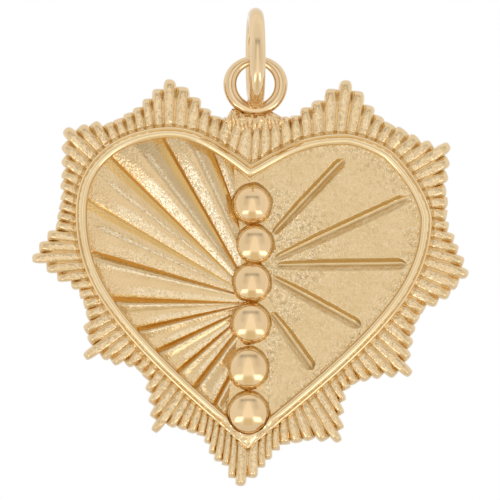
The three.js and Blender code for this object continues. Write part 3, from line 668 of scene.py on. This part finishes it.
# How far each pleat rises, from the top down, as a factor.
PLEAT_LIFTS = [1.15, 1.15, 1.0, 0.46, 0.46, 0.9, 1.2, 1.25, 1.25, 1.25, 1.25, 1.25]
LIFT_AT_RIM = 0.7
LIFT_LENGTH = 0.14
PLEAT_WAVES = (0.9, 11.0)
LEAST_WAVE = 0.2
# How frosted the falling side of each pleat is, its pale frost tone partly a painted highlight, and where
# across a pleat the painted highlight of its pale ridge line runs.
PLEAT_FROST = [1.0, 1.0, 1.0, 0.74, 0.64, 0.7, 0.72, 0.75, 0.75, 0.75, 0.75, 0.75]
UPPER_RIDGE = 0.415
LOWER_RIDGE = 0.24
RIDGE_WIDTH = 0.075
RIDGE_PAINTED_HIGHLIGHT = 0.84
RIDGE_START = 0.1
# The falling side, as shares of a pleat's width, and the grain near the rim, as shares of its length.
FALLING_FROM = (0.5, 0.72)
FALLING_TO = (0.965, 0.935)
RIM_GRAIN = 0.45
RIM_GRAIN_LENGTH = 0.16
FULL_FROST = (0.1, 0.3)
FROST_AT_RIM = 0.5
GRAIN_FROM_RISE = 0.25
# Share of the width, and how strong the painted shade is there: an orange tone on the steep sides by the
# creases.
UPPER_PAINTED_SHADE = ((0.18, 0.22, 0.955, 0.97), (1.0, 0.0, 0.0, 1.0))
LOWER_PAINTED_SHADE = ((0.09, 0.13, 0.86, 0.9), (1.0, 0.0, 0.0, 1.0))
CREASE_AT_RIM = 1.0
CREASE_AT_COLUMN = 0.94
PLEAT_RISE = 0.225
MOST_RISE = 0.86
FIRST_LOWER_PLEAT = 5


def pleated_panel():
    panel = Panel(LEFT)
    before = panel.flats_before()
    stops = [
        (panel.first, panel.column_at(panel.first)),
        *CREASES,
        (panel.last, panel.column_at(panel.last)),
    ]
    # Each line has its share of the pleat's width, the rise, painted crease shade and painted ridge highlight
    # there, the pleat's width at the rim and at the balls, and the pleat's lift and frost.
    lines = []
    for i, (a, b) in enumerate(zip(stops, stops[1:])):
        upper = i < FIRST_LOWER_PLEAT
        section, painted_shade = (PLEAT_SECTION, UPPER_PAINTED_SHADE) if upper else (LOWER_SECTION, LOWER_PAINTED_SHADE)
        ridge_at = UPPER_RIDGE if upper else LOWER_RIDGE
        knots = section[:, 0]
        steps = np.sort(np.concatenate([knots[:-1], (knots[1:] + knots[:-1]) / 2]))
        for share in steps:
            panel.add(a[0] + (b[0] - a[0]) * share, a[1] + (b[1] - a[1]) * share)
        first, last = panel.outer[-len(steps)], panel.outer[-1]
        first_in, last_in = panel.inner[-len(steps)], panel.inner[-1]
        run = first_in + last_in - first - last
        run /= np.linalg.norm(run)
        widths = [abs(np.dot(v, [-run[1], run[0]])) for v in (last - first, last_in - first_in)]
        for share in steps:
            rise, tone = np.interp(share, *section.T), np.interp(share, *painted_shade)
            ridge_highlight = RIDGE_PAINTED_HIGHLIGHT * math.exp(-(((share - ridge_at) / RIDGE_WIDTH) ** 2))
            lines.append((share, rise, tone, ridge_highlight, *widths, PLEAT_LIFTS[i], PLEAT_FROST[i]))
    panel.add(*stops[-1])
    lines.append((1.0, 0.0, 1.0, 0.0, *lines[-1][4:]))
    after = panel.flats_after()
    share, rise, tone, ridge_highlight, width, width_in, lift, frost = np.pad(lines, ((before, after), (0, 0))).T
    flat = np.pad(np.zeros(len(lines)), (before, after), constant_values=1) > 0

    outer, inner, axis = panel.lines()
    r = np.linspace(0, 1, PLEAT_ROWS)[:, None]
    x = outer[:, 0] + (inner - outer)[:, 0] * r
    z = outer[:, 1] + (inner - outer)[:, 1] * r
    crease = CREASE_AT_RIM + (CREASE_AT_COLUMN - CREASE_AT_RIM) * r
    lift = np.minimum(PLEAT_RISE * lift * (width + (width_in - width) * r), MOST_RISE)
    lift *= LIFT_AT_RIM + (1 - LIFT_AT_RIM) * np.sin(progress(r, 0, LIFT_LENGTH) * math.pi / 2)
    t = crease + lift * rise + PANEL_WAVE * wander(x, z, *PLEAT_WAVES) * np.clip(rise, LEAST_WAVE, 1)
    t = np.where(flat, LAND_HEIGHT, t)
    # Painted shade: the steep sides by the creases take the orange tone, and the flats beside them a share of
    # it.
    painted_shading = np.where(flat, LAND_SHADE_AND_GRAIN, tone) * np.ones_like(x)
    falling = progress(share, *FALLING_FROM) * progress(share, *FALLING_TO)
    away = progress(r, *FULL_FROST)
    grain = falling * (RIM_GRAIN + (1 - RIM_GRAIN) * away) + RIM_GRAIN * progress(r, RIM_GRAIN_LENGTH, 0)
    grain = np.minimum(np.minimum(grain, FROST_AT_RIM + (1 - FROST_AT_RIM) * away), frost)
    # The pale ridge line is a painted highlight, carried by the grain into the pale frost tone.
    grain = np.maximum(grain, ridge_highlight * progress(r, 0, RIDGE_START)) * progress(rise, 0, GRAIN_FROM_RISE)
    return panel_mesh("left_panel", x, z, t, axis, painted_shading, grain)


GROOVE_ROWS = 90
# Section of a groove from its upper lip, in millimetres across and down.
GROOVE_SECTION = np.array([
    (-0.4, 0.0), (-0.385, 0.005), (-0.365, 0.025), (-0.33, 0.07), (-0.29, 0.125), (-0.25, 0.18),
    (-0.21, 0.235), (-0.18, 0.275), (-0.155, 0.3), (-0.12, 0.32), (-0.08, 0.33), (-0.04, 0.325), (0.0, 0.3),
    (0.05, 0.25), (0.1, 0.2), (0.16, 0.145), (0.22, 0.08), (0.27, 0.02), (0.3, -0.015), (0.33, -0.028),
    (0.36, -0.026), (0.4, -0.01), (0.44, 0.0),
])
# Millimetres across a groove, and how strong the painted shade is there: an orange tone on its upper wall.
WALL_PAINTED_SHADE = ((-0.4, -0.35, -0.17, -0.12), (0.0, 1.0, 1.0, 0.0))
GROOVE_ENDS = 0.07
GROOVE_LEAST = 0.1
GROOVE_LOWER_END = 1.6
GROOVE_FULLNESS = 0.8
# How much a groove narrows at the balls, and over which share of its line.
GROOVE_NARROWING = (0.4, 0.3)
FLAT_STEP = 0.2
LEAST_RUN = 1e-6
FLAT_WAVES = (1.2, 17.0)
FLAT_TONE = 0.3
# Grain of the right half: what it has all over, what it gains along the rim, and where beside the balls.
FLAT_GRAIN = 0.4
FLAT_RIM_GRAIN = 0.6
FLAT_RIM_LENGTH = 0.12
NEAR_BALLS = (0.5, 0.8)
BESIDE_BALLS = (-8, -12)
BARE_DEPTH = 0.04


def grooved_panel():
    panel = Panel(RIGHT)
    stops = [
        (panel.first, panel.column_at(panel.first), None),
        *((g[0], g[1], g) for g in GROOVES),
        (panel.last, panel.column_at(panel.last), None),
    ]
    # Each line has its depth, its painted shade, and how far it moves aside with the grooves beside it.
    plain = (0.0, 0.0, [])
    lines = [plain] * panel.flats_before()
    for a, b in zip(stops, stops[1:]):
        if a[2]:
            for u, depth in GROOVE_SECTION:
                panel.add(a[0], a[1])
                lines.append((depth, np.interp(u, *WALL_PAINTED_SHADE), [(a[2], u)]))
        steps = round((b[0] - a[0]) / FLAT_STEP)
        for k in range(1 if a[2] else 0, steps if b[2] else steps + 1):
            share = k / steps
            panel.add(a[0] + (b[0] - a[0]) * share, a[1] + (b[1] - a[1]) * share)
            moves = [(a[2], GROOVE_SECTION[-1, 0] * (1 - share)), (b[2], GROOVE_SECTION[0, 0] * share)]
            lines.append((0.0, 0.0, moves))
    lines += [plain] * panel.flats_after()
    down, painted_shade = (np.array([line[k] for line in lines]) for k in (0, 1))

    outer, inner, axis = panel.lines()
    r = np.linspace(0, 1, GROOVE_ROWS)
    run = inner - outer
    run = run / np.maximum(np.linalg.norm(run, axis=1), LEAST_RUN)[:, None]
    aside = np.zeros((GROOVE_ROWS, len(lines)))
    open_share = np.zeros_like(aside)
    for k, line in enumerate(lines):
        for groove, u in line[2]:
            if groove:
                open_share[:, k], width = groove_width(groove, r)
                aside[:, k] += u * width
    r = r[:, None]
    x = outer[:, 0] + (inner - outer)[:, 0] * r - run[:, 1] * aside
    z = outer[:, 1] + (inner - outer)[:, 1] * r + run[:, 0] * aside
    t = LAND_HEIGHT - down * open_share + PANEL_WAVE * wander(x, z, *FLAT_WAVES)
    # Painted shade: the groove's upper wall takes the orange tone as the groove opens.
    painted_shading = FLAT_TONE + (1 - FLAT_TONE) * painted_shade * np.minimum(open_share * 2, 1)
    near_balls = progress(r, *NEAR_BALLS) * progress(z, *BESIDE_BALLS)
    grain = np.clip(FLAT_GRAIN + FLAT_RIM_GRAIN * progress(r, FLAT_RIM_LENGTH, 0) + near_balls, 0, 1)
    grain = grain * (1 - progress(down, 0, BARE_DEPTH) * np.minimum(open_share * 3, 1))
    return panel_mesh("right_panel", x, z, t, axis, painted_shading, grain)


def groove_width(groove, r):
    """How far open a groove is along its line, from 0 to 1, and the factor of its width."""
    start, stop, wide = groove[2:]
    ends = progress(np.minimum(r - start, (stop - r) * GROOVE_LOWER_END), 0, GROOVE_ENDS)
    loss, length = GROOVE_NARROWING
    narrow = 1 - loss * progress(r, stop - length, stop)
    open_share = np.sin(ends * math.pi / 2) ** GROOVE_FULLNESS * narrow
    return open_share, wide * (GROOVE_LEAST + (1 - GROOVE_LEAST) * open_share)


# Balls and their seats

ROUND_STEPS = 96
BALL_ARC = 40
BALL_BEND = 6
BALL_DROP = 0.2
BALL_TILT_LENGTH = 0.2
# Painted light on each ball: a paler tone from its foot to its waist, which lifts their shade; the shoulder
# and crown take none.
BALL_PAINTED_LIGHT = (1.0, 1.0, 0.8)
SHOULDER_PAINTED_LIGHT = 0.3


def turned(name, profile, centre, painted_shading, tilt):
    """A round piece about the axis that faces the camera, from a profile of radius and height. tilt is the
    slope by which all that stands above a ball's waist leans up or down."""
    profile = np.array(profile)
    angle = np.linspace(0, 2 * math.pi, ROUND_STEPS, endpoint=False)
    x = centre[0] + profile[:, :1] * np.cos(angle)
    z = centre[1] + profile[:, :1] * np.sin(angle)
    t = np.broadcast_to(profile[:, 1:], x.shape)
    waist = LAND_HEIGHT + BALL_WAIST
    t = t - progress(t, waist, waist + BALL_TILT_LENGTH) * tilt * (z - centre[1])
    skin = Skin()
    skin.grid(to_frame(x, t, z), np.array(painted_shading)[:, None], wrap=True)
    return skin.object(name)


def ball(i, x, z, diameter, curve, tilt):
    """A domed ball. Its crown is part of a larger sphere and turns over at the shoulder to upright flanks."""
    radius = diameter / 2
    crown = radius / curve
    centre = LAND_HEIGHT + BALL_TALL - crown
    shoulder = radius * BALL_SHOULDER
    arc = [
        (crown * math.cos(a), centre + crown * math.sin(a))
        for a in np.linspace(math.acos(shoulder / crown), math.pi / 2, BALL_ARC)
    ]
    low = arc[0][1]
    bend = [
        (shoulder + (radius - shoulder) * math.sin(a), low - BALL_DROP * (1 - math.cos(a)))
        for a in np.linspace(math.pi / 2, 0, BALL_BEND + 1)[:-1]
    ]
    profile = [(0, LAND_HEIGHT), (radius * BALL_FOOT, LAND_HEIGHT), (radius, LAND_HEIGHT + BALL_WAIST)]
    profile += bend + arc[:-1] + [(0, LAND_HEIGHT + BALL_TALL)]
    painted_shading = [*BALL_PAINTED_LIGHT] + [SHOULDER_PAINTED_LIGHT] * len(bend) + [0.0] * len(arc)
    return turned(f"ball_{i}_polished", profile, (x, z), painted_shading, tilt)


# Section of a seat: share of its width from the ball, and share of its height.
SEAT_SECTION = [(1.0, 0.0), (0.85, 0.2), (0.6, 0.55), (0.4, 0.82), (0.25, 0.96), (0.12, 1.0), (0.0, 0.95)]
# How a seat varies round its ball, as a share of its width and height, and how much wider it is above and
# below the ball.
SEAT_CHANGE = 0.4
SEAT_WIDTH_WAVES = 2.2
SEAT_TALL_WAVES = 1.7
SEAT_WIDER = 0.2
SEAT_LUMP = 0.07
SEAT_LUMPS = (2.6, 23.0)
SEAT_TONE = 0.3
SEAT_GRAIN = 0.8


def ball_seat(i, x, z, diameter):
    """The lumpy collar of solder at the foot of a ball."""
    angle = np.linspace(0, 2 * math.pi, ROUND_STEPS, endpoint=False)
    c, d = np.cos(angle), np.sin(angle)
    inner = diameter / 2 - SEAT_OVERLAP
    width = SEAT_WIDTH * (1 + SEAT_CHANGE * wander(c, d, SEAT_WIDTH_WAVES, 10 * i) + SEAT_WIDER * d**6)
    tall = SEAT_TALL * (1 + SEAT_CHANGE * wander(c, d, SEAT_TALL_WAVES, 10 * i + 5))
    rows = [(inner + width, SEAT_FOOT * np.ones_like(c))]
    rows += [(inner + width * a, LAND_HEIGHT + tall * b) for a, b in SEAT_SECTION]
    rows += [(inner * np.ones_like(c), SEAT_FOOT * np.ones_like(c)), rows[0]]
    reach, t = (np.array([row[k] for row in rows]) for k in (0, 1))
    across, up = x + reach * c, z + reach * d
    t = t + SEAT_LUMP * wander(across, up, *SEAT_LUMPS) * (t > LAND_HEIGHT)
    skin = Skin()
    skin.grid(to_frame(across, t, up), SEAT_TONE, SEAT_GRAIN, wrap=True)
    return skin.object(f"ball_{i}_seat_ring")


# Rings

RING_BORE = 1.38
RING_WIRE_AT_SIDES = 0.97
RING_WIRE_AT_TOP = 0.69
RING_DROP = RING_BORE + RING_WIRE_AT_TOP / 2
WIRE_STEPS = 180
WIRE_SECTION = 40
BAIL_RADIUS = 3.1
BAIL_WIRE = 1.15
BAIL_THINNING = 0.99
BAIL_LEAN = 2.7
BAIL_YAW = 3


def ring_points(radius, wire):
    """A ring of wire in its own plane, x across, y through and z up, with radius and wire at each angle."""
    angle = np.linspace(0, 2 * math.pi, WIRE_STEPS, endpoint=False)
    radius, wire = np.broadcast_to(radius, angle.shape), np.broadcast_to(wire, angle.shape)
    turn = np.linspace(0, 2 * math.pi, WIRE_SECTION, endpoint=False)
    reach = radius[:, None] + wire[:, None] / 2 * np.cos(turn)
    through = wire[:, None] / 2 * np.sin(turn)
    return np.stack([reach * np.sin(angle)[:, None], through, reach * np.cos(angle)[:, None]], axis=-1)


def closed_ring(name, points):
    skin = Skin()
    skin.grid(np.concatenate([points, points[:1]]), wrap=True)
    return skin.object(name)


def fixed_ring():
    angle = np.linspace(0, 2 * math.pi, WIRE_STEPS, endpoint=False)
    wire = RING_WIRE_AT_SIDES + (RING_WIRE_AT_TOP - RING_WIRE_AT_SIDES) * np.maximum(0, np.cos(angle)) ** 2
    points = ring_points(RING_BORE + wire / 2, wire)
    points[..., 2] -= RING_DROP
    return closed_ring("fixed_ring", points * MM + np.array(PIVOT))


def bail_ring():
    node = frame["nodes"]["bail_ring"]
    corners = np.array([v.co for v in node.data.vertices])
    centre = (corners.max(axis=0) + corners.min(axis=0)) / 2
    yaw = Matrix.Rotation(math.radians(90 + BAIL_YAW), 3, "Z")
    lean = Matrix.Rotation(math.radians(-BAIL_LEAN), 3, "Y")
    points = ring_points(BAIL_RADIUS, BAIL_WIRE * BAIL_THINNING) * MM
    return closed_ring("bail", points @ np.array(yaw @ lean).T + centre)


# Saddle: the lumpy solder under the fixed ring

# Upper edge of the saddle: across and up, about the pivot.
SADDLE_EDGE = [
    (-2.3, -4.5), (-2.05, -4.05), (-1.72, -3.5), (-1.4, -3.55), (-0.9, -3.85), (0.0, -3.9), (0.75, -3.85),
    (1.1, -3.7), (1.45, -3.85), (1.9, -4.1), (2.2, -4.5),
]
SADDLE_FOOT = -5.5
SADDLE_FOOT_WAVE = 0.45
SADDLE_FOOT_WAVES = (1.9, 3.0)
SADDLE_ACROSS = 90
SADDLE_DOWN = 44
# Heights: the back, the upper edge, how far the top rises and over which share of the way down, how far the
# foot falls and from which share on, and two sizes of lump.
SADDLE_BACK = 0.4
SADDLE_START = 1.0
SADDLE_RISE = 0.52
SADDLE_ROUND = 0.3
SADDLE_FALL = 0.36
SADDLE_FALL_FROM = 0.2
SADDLE_LUMPS = ((0.1, 1.5, 12.0), (0.05, 4.0, 2.0))
# Strokes in the solder: height, how close they lie, how they lean, and how far they wander.
STROKE_HEIGHT = 0.09
STROKES_ACROSS = 9.5
STROKES_DOWN = 1.4
STROKE_WANDER = 2.2
STROKE_WAVES = (0.9, 8.0)
SADDLE_TONE = 0.2


def saddle():
    """Lumps of solder under the fixed ring, which run down over the ends of the rays."""
    edge = np.array(SADDLE_EDGE)
    x = np.linspace(edge[0, 0], edge[-1, 0], SADDLE_ACROSS)
    top = np.interp(x, edge[:, 0], edge[:, 1])
    foot = SADDLE_FOOT + SADDLE_FOOT_WAVE * wander(x, x * 0, *SADDLE_FOOT_WAVES)
    full = np.sin((x - x[0]) / (x[-1] - x[0]) * math.pi) * 3
    foot = top + (foot - top) * np.sqrt(np.clip(full, 0.02, 1))
    share = np.linspace(0, 1, SADDLE_DOWN)[:, None]
    z = top + (foot - top) * share
    x = np.broadcast_to(x, z.shape)
    t = SADDLE_START + SADDLE_RISE * np.sqrt(np.clip(1 - (1 - progress(share, 0, SADDLE_ROUND)) ** 2, 0, 1))
    for lump, scale, seed in SADDLE_LUMPS:
        t = t + lump * wander(x, z, scale, seed)
    strokes = np.cos(x * STROKES_ACROSS + STROKE_WANDER * wander(x, z, *STROKE_WAVES) + z * STROKES_DOWN)
    t += STROKE_HEIGHT * strokes * np.clip(share * 3, 0, 1)
    t -= SADDLE_FALL * progress(share, SADDLE_FALL_FROM, 1) ** 1.5
    face = to_frame(x, t, z)
    outline = np.concatenate([face[0], face[1:-1, -1], face[-1][::-1], face[1:-1, 0][::-1]])
    back = outline.copy()
    back[:, 1] = PIVOT.y + (RING_HEIGHT - SADDLE_BACK) * MM
    skin = Skin()
    skin.grid(face, SADDLE_TONE, 1.0)
    # The sides take a little of the paler painted light of the hollows.
    skin.grid(np.array([outline, back]), 0.5, 1.0, wrap=True)
    skin.cap(back)
    return skin.object("saddle_solder")


# Materials

PER_MM = 1 / MM
# Painted light: a paler tone that lifts the shade in hollows, such as the valleys and roots of the rays.
PAINTED_HOLLOW_LIGHT = (0.83, 0.68, 0.46)
FLAT = (0.658, 0.488, 0.266)
# Painted shade: the orange tone on the upper walls of the grooves.
PAINTED_WALL_SHADE = (0.63, 0.45, 0.205)
POLISHED = (0.8, 0.585, 0.335)
WIRE = (0.76, 0.57, 0.345)
RIM = (0.81, 0.63, 0.375)
# Painted light: the paler tone of the rim's low sides, which lifts their shade.
PAINTED_RIM_LIGHT = (0.86, 0.7, 0.46)
CAST = (0.745, 0.56, 0.325)
# Painted shade: the orange tone on the steep sides by the pleats' creases.
PAINTED_CREASE_SHADE = (0.68, 0.44, 0.165)
SATIN = (0.665, 0.485, 0.265)
# The pale tone of frosted places, partly real frost and partly a painted highlight on the pleats' falling
# sides and ridges.
FROST_AND_HIGHLIGHT = (0.88, 0.74, 0.52)
SOLDER = (0.74, 0.54, 0.3)
SEAT = (0.7, 0.48, 0.22)
MOTTLE_DARK = (0.5, 0.33, 0.15)
MOTTLE_LIGHT = (0.9, 0.76, 0.54)
CLOUD_SIZE = 1.6
CLOUD_TINT = (0.96, 0.94, 0.9)
GRAIN_SHINE = 0.08
LEAST_GRAIN = 0.15
# Over which values of painted shading, grain and noise each tone comes in.
CLOUDED = (0.35, 0.65)
FROSTED = (0.5, 1.0)
PAINTED_SHADING_RAMP = (0.3, 1.0)
DARK_SPECKS = (0.5, 0.3)
LIGHT_SPECKS = (0.52, 0.72)
UNPOLISHED = (0.0, 0.3)


class Nodes:
    """Short calls for building a node tree."""

    def __init__(self, tree):
        self.tree = tree
        tree.nodes.clear()

    def new(self, kind, **settings):
        node = self.tree.nodes.new(kind)
        for key, value in settings.items():
            setattr(node, key, value)
        return node

    def link(self, source, target):
        self.tree.links.new(source, target)

    def put(self, socket, value):
        if hasattr(value, "links"):
            self.link(value, socket)
        else:
            socket.default_value = value

    def math(self, operation, a, b=0.0, clamp=False):
        node = self.new("ShaderNodeMath", operation=operation, use_clamp=clamp)
        self.put(node.inputs[0], a)
        self.put(node.inputs[1], b)
        return node.outputs[0]

    def add(self, a, b, clamp=False):
        return self.math("ADD", a, b, clamp)

    def less(self, a, b):
        return self.math("SUBTRACT", a, b)

    def times(self, a, b):
        return self.math("MULTIPLY", a, b)

    def ramp(self, value, low, high, to_low=0.0, to_high=1.0):
        node = self.new("ShaderNodeMapRange", interpolation_type="SMOOTHSTEP")
        for socket, v in zip(node.inputs, (value, low, high, to_low, to_high)):
            self.put(socket, v)
        return node.outputs[0]

    def mix(self, share, a, b):
        node = self.new("ShaderNodeMix", data_type="RGBA")
        for index, value in ((0, share), (6, a), (7, b)):
            self.put(node.inputs[index], value)
        return node.outputs[2]

    def noise(self, place, scale, detail, roughness=0.5):
        node = self.new("ShaderNodeTexNoise")
        for key, value in (("Vector", place), ("Scale", scale), ("Detail", detail), ("Roughness", roughness)):
            self.put(node.inputs[key], value)
        return node.outputs[0]

    def show(self, shader, kind="ShaderNodeOutputMaterial"):
        self.link(shader.outputs[0], self.new(kind).inputs["Surface"])


def colour(rgb):
    return (*rgb, 1.0)


def gold(
    name, tone, roughness, pebble=(0.0, 0.25), grain=(0.0, 0.09), spread=0.05, painted_shading_colour=PAINTED_HOLLOW_LIGHT, frost=None,
    polish=None, mottle=0.0,
):
    """Cast gold. pebble and grain are a coarse and a fine texture, each a height and a size in millimetres.
    The colour of the painted shading is by default a paler painted light that lifts the shade of hollows, and
    for the crease and groove golds an orange painted shade. frost is the pale tone of rough places, on the
    pleats partly a painted highlight, polish the roughness of smooth ones, and mottle the strength of the
    specks."""
    material = bpy.data.materials.new(name)
    material.use_nodes = True
    n = Nodes(material.node_tree)
    place = n.new("ShaderNodeTexCoord").outputs["Object"]
    painted_shading = n.new("ShaderNodeAttribute", attribute_name="painted_shading").outputs["Fac"]
    rough_here = n.new("ShaderNodeAttribute", attribute_name="grain").outputs["Fac"]
    coarse = n.noise(place, PER_MM / pebble[1], 0.7, 0.4)
    fine = n.noise(place, PER_MM / grain[1], 0.0)
    cloud = n.noise(place, PER_MM / CLOUD_SIZE, 3.0, 0.55)
    shader = n.new("ShaderNodeBsdfPrincipled")
    shader.inputs["Metallic"].default_value = 1.0
    clouded = [channel * tint for channel, tint in zip(tone, CLOUD_TINT)]
    base = n.mix(n.ramp(cloud, *CLOUDED), colour(tone), colour(clouded))
    # Rough places take the pale frost tone; on the pleats it is also a painted highlight.
    if frost:
        base = n.mix(n.ramp(rough_here, *FROSTED), base, colour(frost))
    # Painted shading: the tone painted into hollows and onto crease and groove walls comes in where the value
    # is high.
    base = n.mix(n.ramp(painted_shading, *PAINTED_SHADING_RAMP), base, colour(painted_shading_colour))
    if mottle:
        share = n.times(rough_here, mottle)
        base = n.mix(n.times(n.ramp(coarse, *DARK_SPECKS), share), base, colour(MOTTLE_DARK))
        base = n.mix(n.times(n.ramp(fine, *LIGHT_SPECKS), share), base, colour(MOTTLE_LIGHT))
    n.link(base, shader.inputs["Base Color"])
    rough = n.ramp(fine, 0.3, 0.7, roughness - spread, roughness + spread)
    rough = n.less(rough, n.times(rough_here, GRAIN_SHINE))
    if polish:
        share = n.ramp(rough_here, *UNPOLISHED)
        rough = n.add(n.times(rough, share), n.times(n.less(1.0, share), polish))
    n.link(rough, shader.inputs["Roughness"])
    previous = None
    for height, (size, _) in ((coarse, pebble), (fine, grain)):
        if size:
            bump = n.new("ShaderNodeBump")
            n.link(n.add(LEAST_GRAIN, n.times(rough_here, 1 - LEAST_GRAIN)), bump.inputs["Strength"])
            bump.inputs["Distance"].default_value = size * MM
            n.link(height, bump.inputs["Height"])
            if previous:
                n.link(previous, bump.inputs["Normal"])
            previous = bump.outputs[0]
    if previous:
        n.link(previous, shader.inputs["Normal"])
    n.show(shader)
    return material


# Studio: what the metal mirrors. A direction is described by the lean of the mirror that shows it to the
# camera, p across and q up, as the parts of the mirror's own direction.

WHITE = (1, 1, 1, 1)
TO_CAMERA = (0.0, -1.0, 0.0)
STUDIO_LEVEL = 0.98
# Patches: how fast each widens downwards from its upper edge, its band across, its band up, and its change of
# level. A band is low, high and softness.
STUDIO = [
    (0.26, (-1.0, 0.06, 0.04), (-0.33, 0.27, 0.05), 0.2),
    (0.1, (0.17, 0.34, 0.06), (-0.05, 0.34, 0.08), -0.14),
    (0.0, (-1.0, 0.3, 0.07), (0.22, 0.37, 0.05), -0.16),
    (0.0, (-1.0, 0.27, 0.05), (0.28, 0.36, 0.045), -0.2),
    (0.3, (0.17, 0.4, 0.06), (-0.44, -0.31, 0.045), 1.5),
]
FLOOR_GLOW = (0.35, (-1.0, 0.1, 0.04), (-0.9, -0.36, 0.06), -0.12)
FLOOR_TINT = (1.0, 0.93, 0.7, 1)
OUTER_START, OUTER_END, OUTER_CHANGE = 0.55, 0.8, 0.12
BEHIND_START, BEHIND_END = 0.84, 0.9


def make_world():
    world = bpy.data.worlds.new("studio")
    bpy.context.scene.world = world
    world.use_nodes = True
    n = Nodes(world.node_tree)
    direction = n.new("ShaderNodeTexCoord").outputs["Generated"]
    half = n.new("ShaderNodeVectorMath", operation="ADD")
    n.link(direction, half.inputs[0])
    half.inputs[1].default_value = TO_CAMERA
    unit = n.new("ShaderNodeVectorMath", operation="NORMALIZE")
    n.link(half.outputs[0], unit.inputs[0])
    split = n.new("ShaderNodeSeparateXYZ")
    n.link(unit.outputs[0], split.inputs[0])
    p, q = n.math("ABSOLUTE", split.outputs[0]), split.outputs[2]
    radius = n.math("SQRT", n.add(n.times(p, p), n.times(q, q)))

    def band(value, low, high, soft):
        rise = n.ramp(value, low - soft, low + soft)
        fall = n.ramp(value, high - soft, high + soft, 1.0, 0.0)
        return n.times(rise, fall)

    def patch(widening, across, up):
        widened = n.less(p, n.times(n.less(up[1], q), widening))
        return n.times(band(widened, *across), band(q, *up))

    level = n.add(STUDIO_LEVEL, n.ramp(radius, OUTER_START, OUTER_END, 0.0, OUTER_CHANGE))
    for *shape, change in STUDIO:
        level = n.add(level, n.times(patch(*shape), change))
    glow = patch(*FLOOR_GLOW[:3])
    level = n.add(level, n.times(glow, FLOOR_GLOW[3]))

    path = n.new("ShaderNodeLightPath")
    mirrored = n.add(path.outputs["Is Glossy Ray"], path.outputs["Is Transmission Ray"])
    behind = n.times(mirrored, n.ramp(radius, BEHIND_START, BEHIND_END))
    white_share = n.add(path.outputs["Is Camera Ray"], behind, clamp=True)
    studio = n.new("ShaderNodeBackground")
    n.link(level, studio.inputs["Strength"])
    white = n.new("ShaderNodeBackground")
    white.inputs["Color"].default_value = WHITE
    n.link(n.mix(glow, WHITE, FLOOR_TINT), studio.inputs["Color"])
    mix = n.new("ShaderNodeMixShader")
    n.link(white_share, mix.inputs[0])
    n.link(studio.outputs[0], mix.inputs[1])
    n.link(white.outputs[0], mix.inputs[2])
    n.show(mix, "ShaderNodeOutputWorld")


FLOOR_DROP = 0.02
FLOOR_RADIUS = 0.085
FLOOR_BACK = 0.075
FLOOR_COLOUR = (0.9, 0.9, 0.9, 1)
FLOOR_ROUGHNESS = 0.8


def make_floor():
    low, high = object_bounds()
    work = bmesh.new()
    bmesh.ops.create_circle(work, cap_ends=True, segments=ROUND_STEPS, radius=FLOOR_RADIUS)
    mesh = bpy.data.meshes.new("floor")
    work.to_mesh(mesh)
    work.free()
    floor = bpy.data.objects.new("floor", mesh)
    floor.location = ((low[0] + high[0]) / 2, FLOOR_BACK, low[2] - FLOOR_DROP)
    bpy.context.scene.collection.objects.link(floor)
    material = bpy.data.materials.new("floor")
    material.use_nodes = True
    n = Nodes(material.node_tree)
    shader = n.new("ShaderNodeBsdfPrincipled")
    shader.inputs["Base Color"].default_value = FLOOR_COLOUR
    shader.inputs["Roughness"].default_value = FLOOR_ROUGHNESS
    n.show(shader)
    mesh.materials.append(material)


# Assembly

def dress(piece, node, material, body="pendant"):
    piece.data.materials.clear()
    piece.data.materials.append(material)
    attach(piece, body)
    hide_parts(node)


make_camera()
make_world()
make_floor()

polished = gold("polished_gold", POLISHED, 0.05, spread=0.01)
wire = gold("wire_gold", WIRE, 0.09, pebble=(0.006, 0.5), spread=0.02)
rim = gold("rim_gold", RIM, 0.09, pebble=(0.05, 0.35), spread=0.02, painted_shading_colour=PAINTED_RIM_LIGHT)
cast = gold("cast_gold", CAST, 0.22, pebble=(0.09, 0.3), grain=(0.03, 0.13), polish=0.09, mottle=0.42)
solder = gold("solder_gold", SOLDER, 0.18, pebble=(0.1, 0.3), grain=(0.02, 0.12))
seat = gold("seat_gold", SEAT, 0.18, pebble=(0.1, 0.3), grain=(0.02, 0.12))
flat = gold(
    "flat_gold", FLAT, 0.26, pebble=(0.12, 0.36), grain=(0.035, 0.13), spread=0.06, painted_shading_colour=PAINTED_WALL_SHADE,
    mottle=0.62,
)
frosted = gold(
    "frosted_gold", SATIN, 0.22, pebble=(0.06, 0.2), grain=(0.025, 0.1), spread=0.04, painted_shading_colour=PAINTED_CREASE_SHADE,
    frost=FROST_AND_HIGHLIGHT, polish=0.13, mottle=0.6,
)

dress(ray_border(), "ray_plate", cast)
dress(pleated_panel(), "pleated_panel", frosted)
dress(grooved_panel(), "grooved_panel", flat)
dress(rim_wire(), "rim_wire", rim)
for number, shape in enumerate(BALLS, start=1):
    dress(ball(number, *shape), f"ball_{number}", polished)
    dress(ball_seat(number, *shape[:3]), f"ball_seat_{number}", seat)
dress(saddle(), "ring_saddle", solder)
dress(fixed_ring(), "hanging_ring", wire)
dress(bail_ring(), "bail_ring", wire, body="bail")

bpy.context.scene.view_settings.view_transform = "Standard"
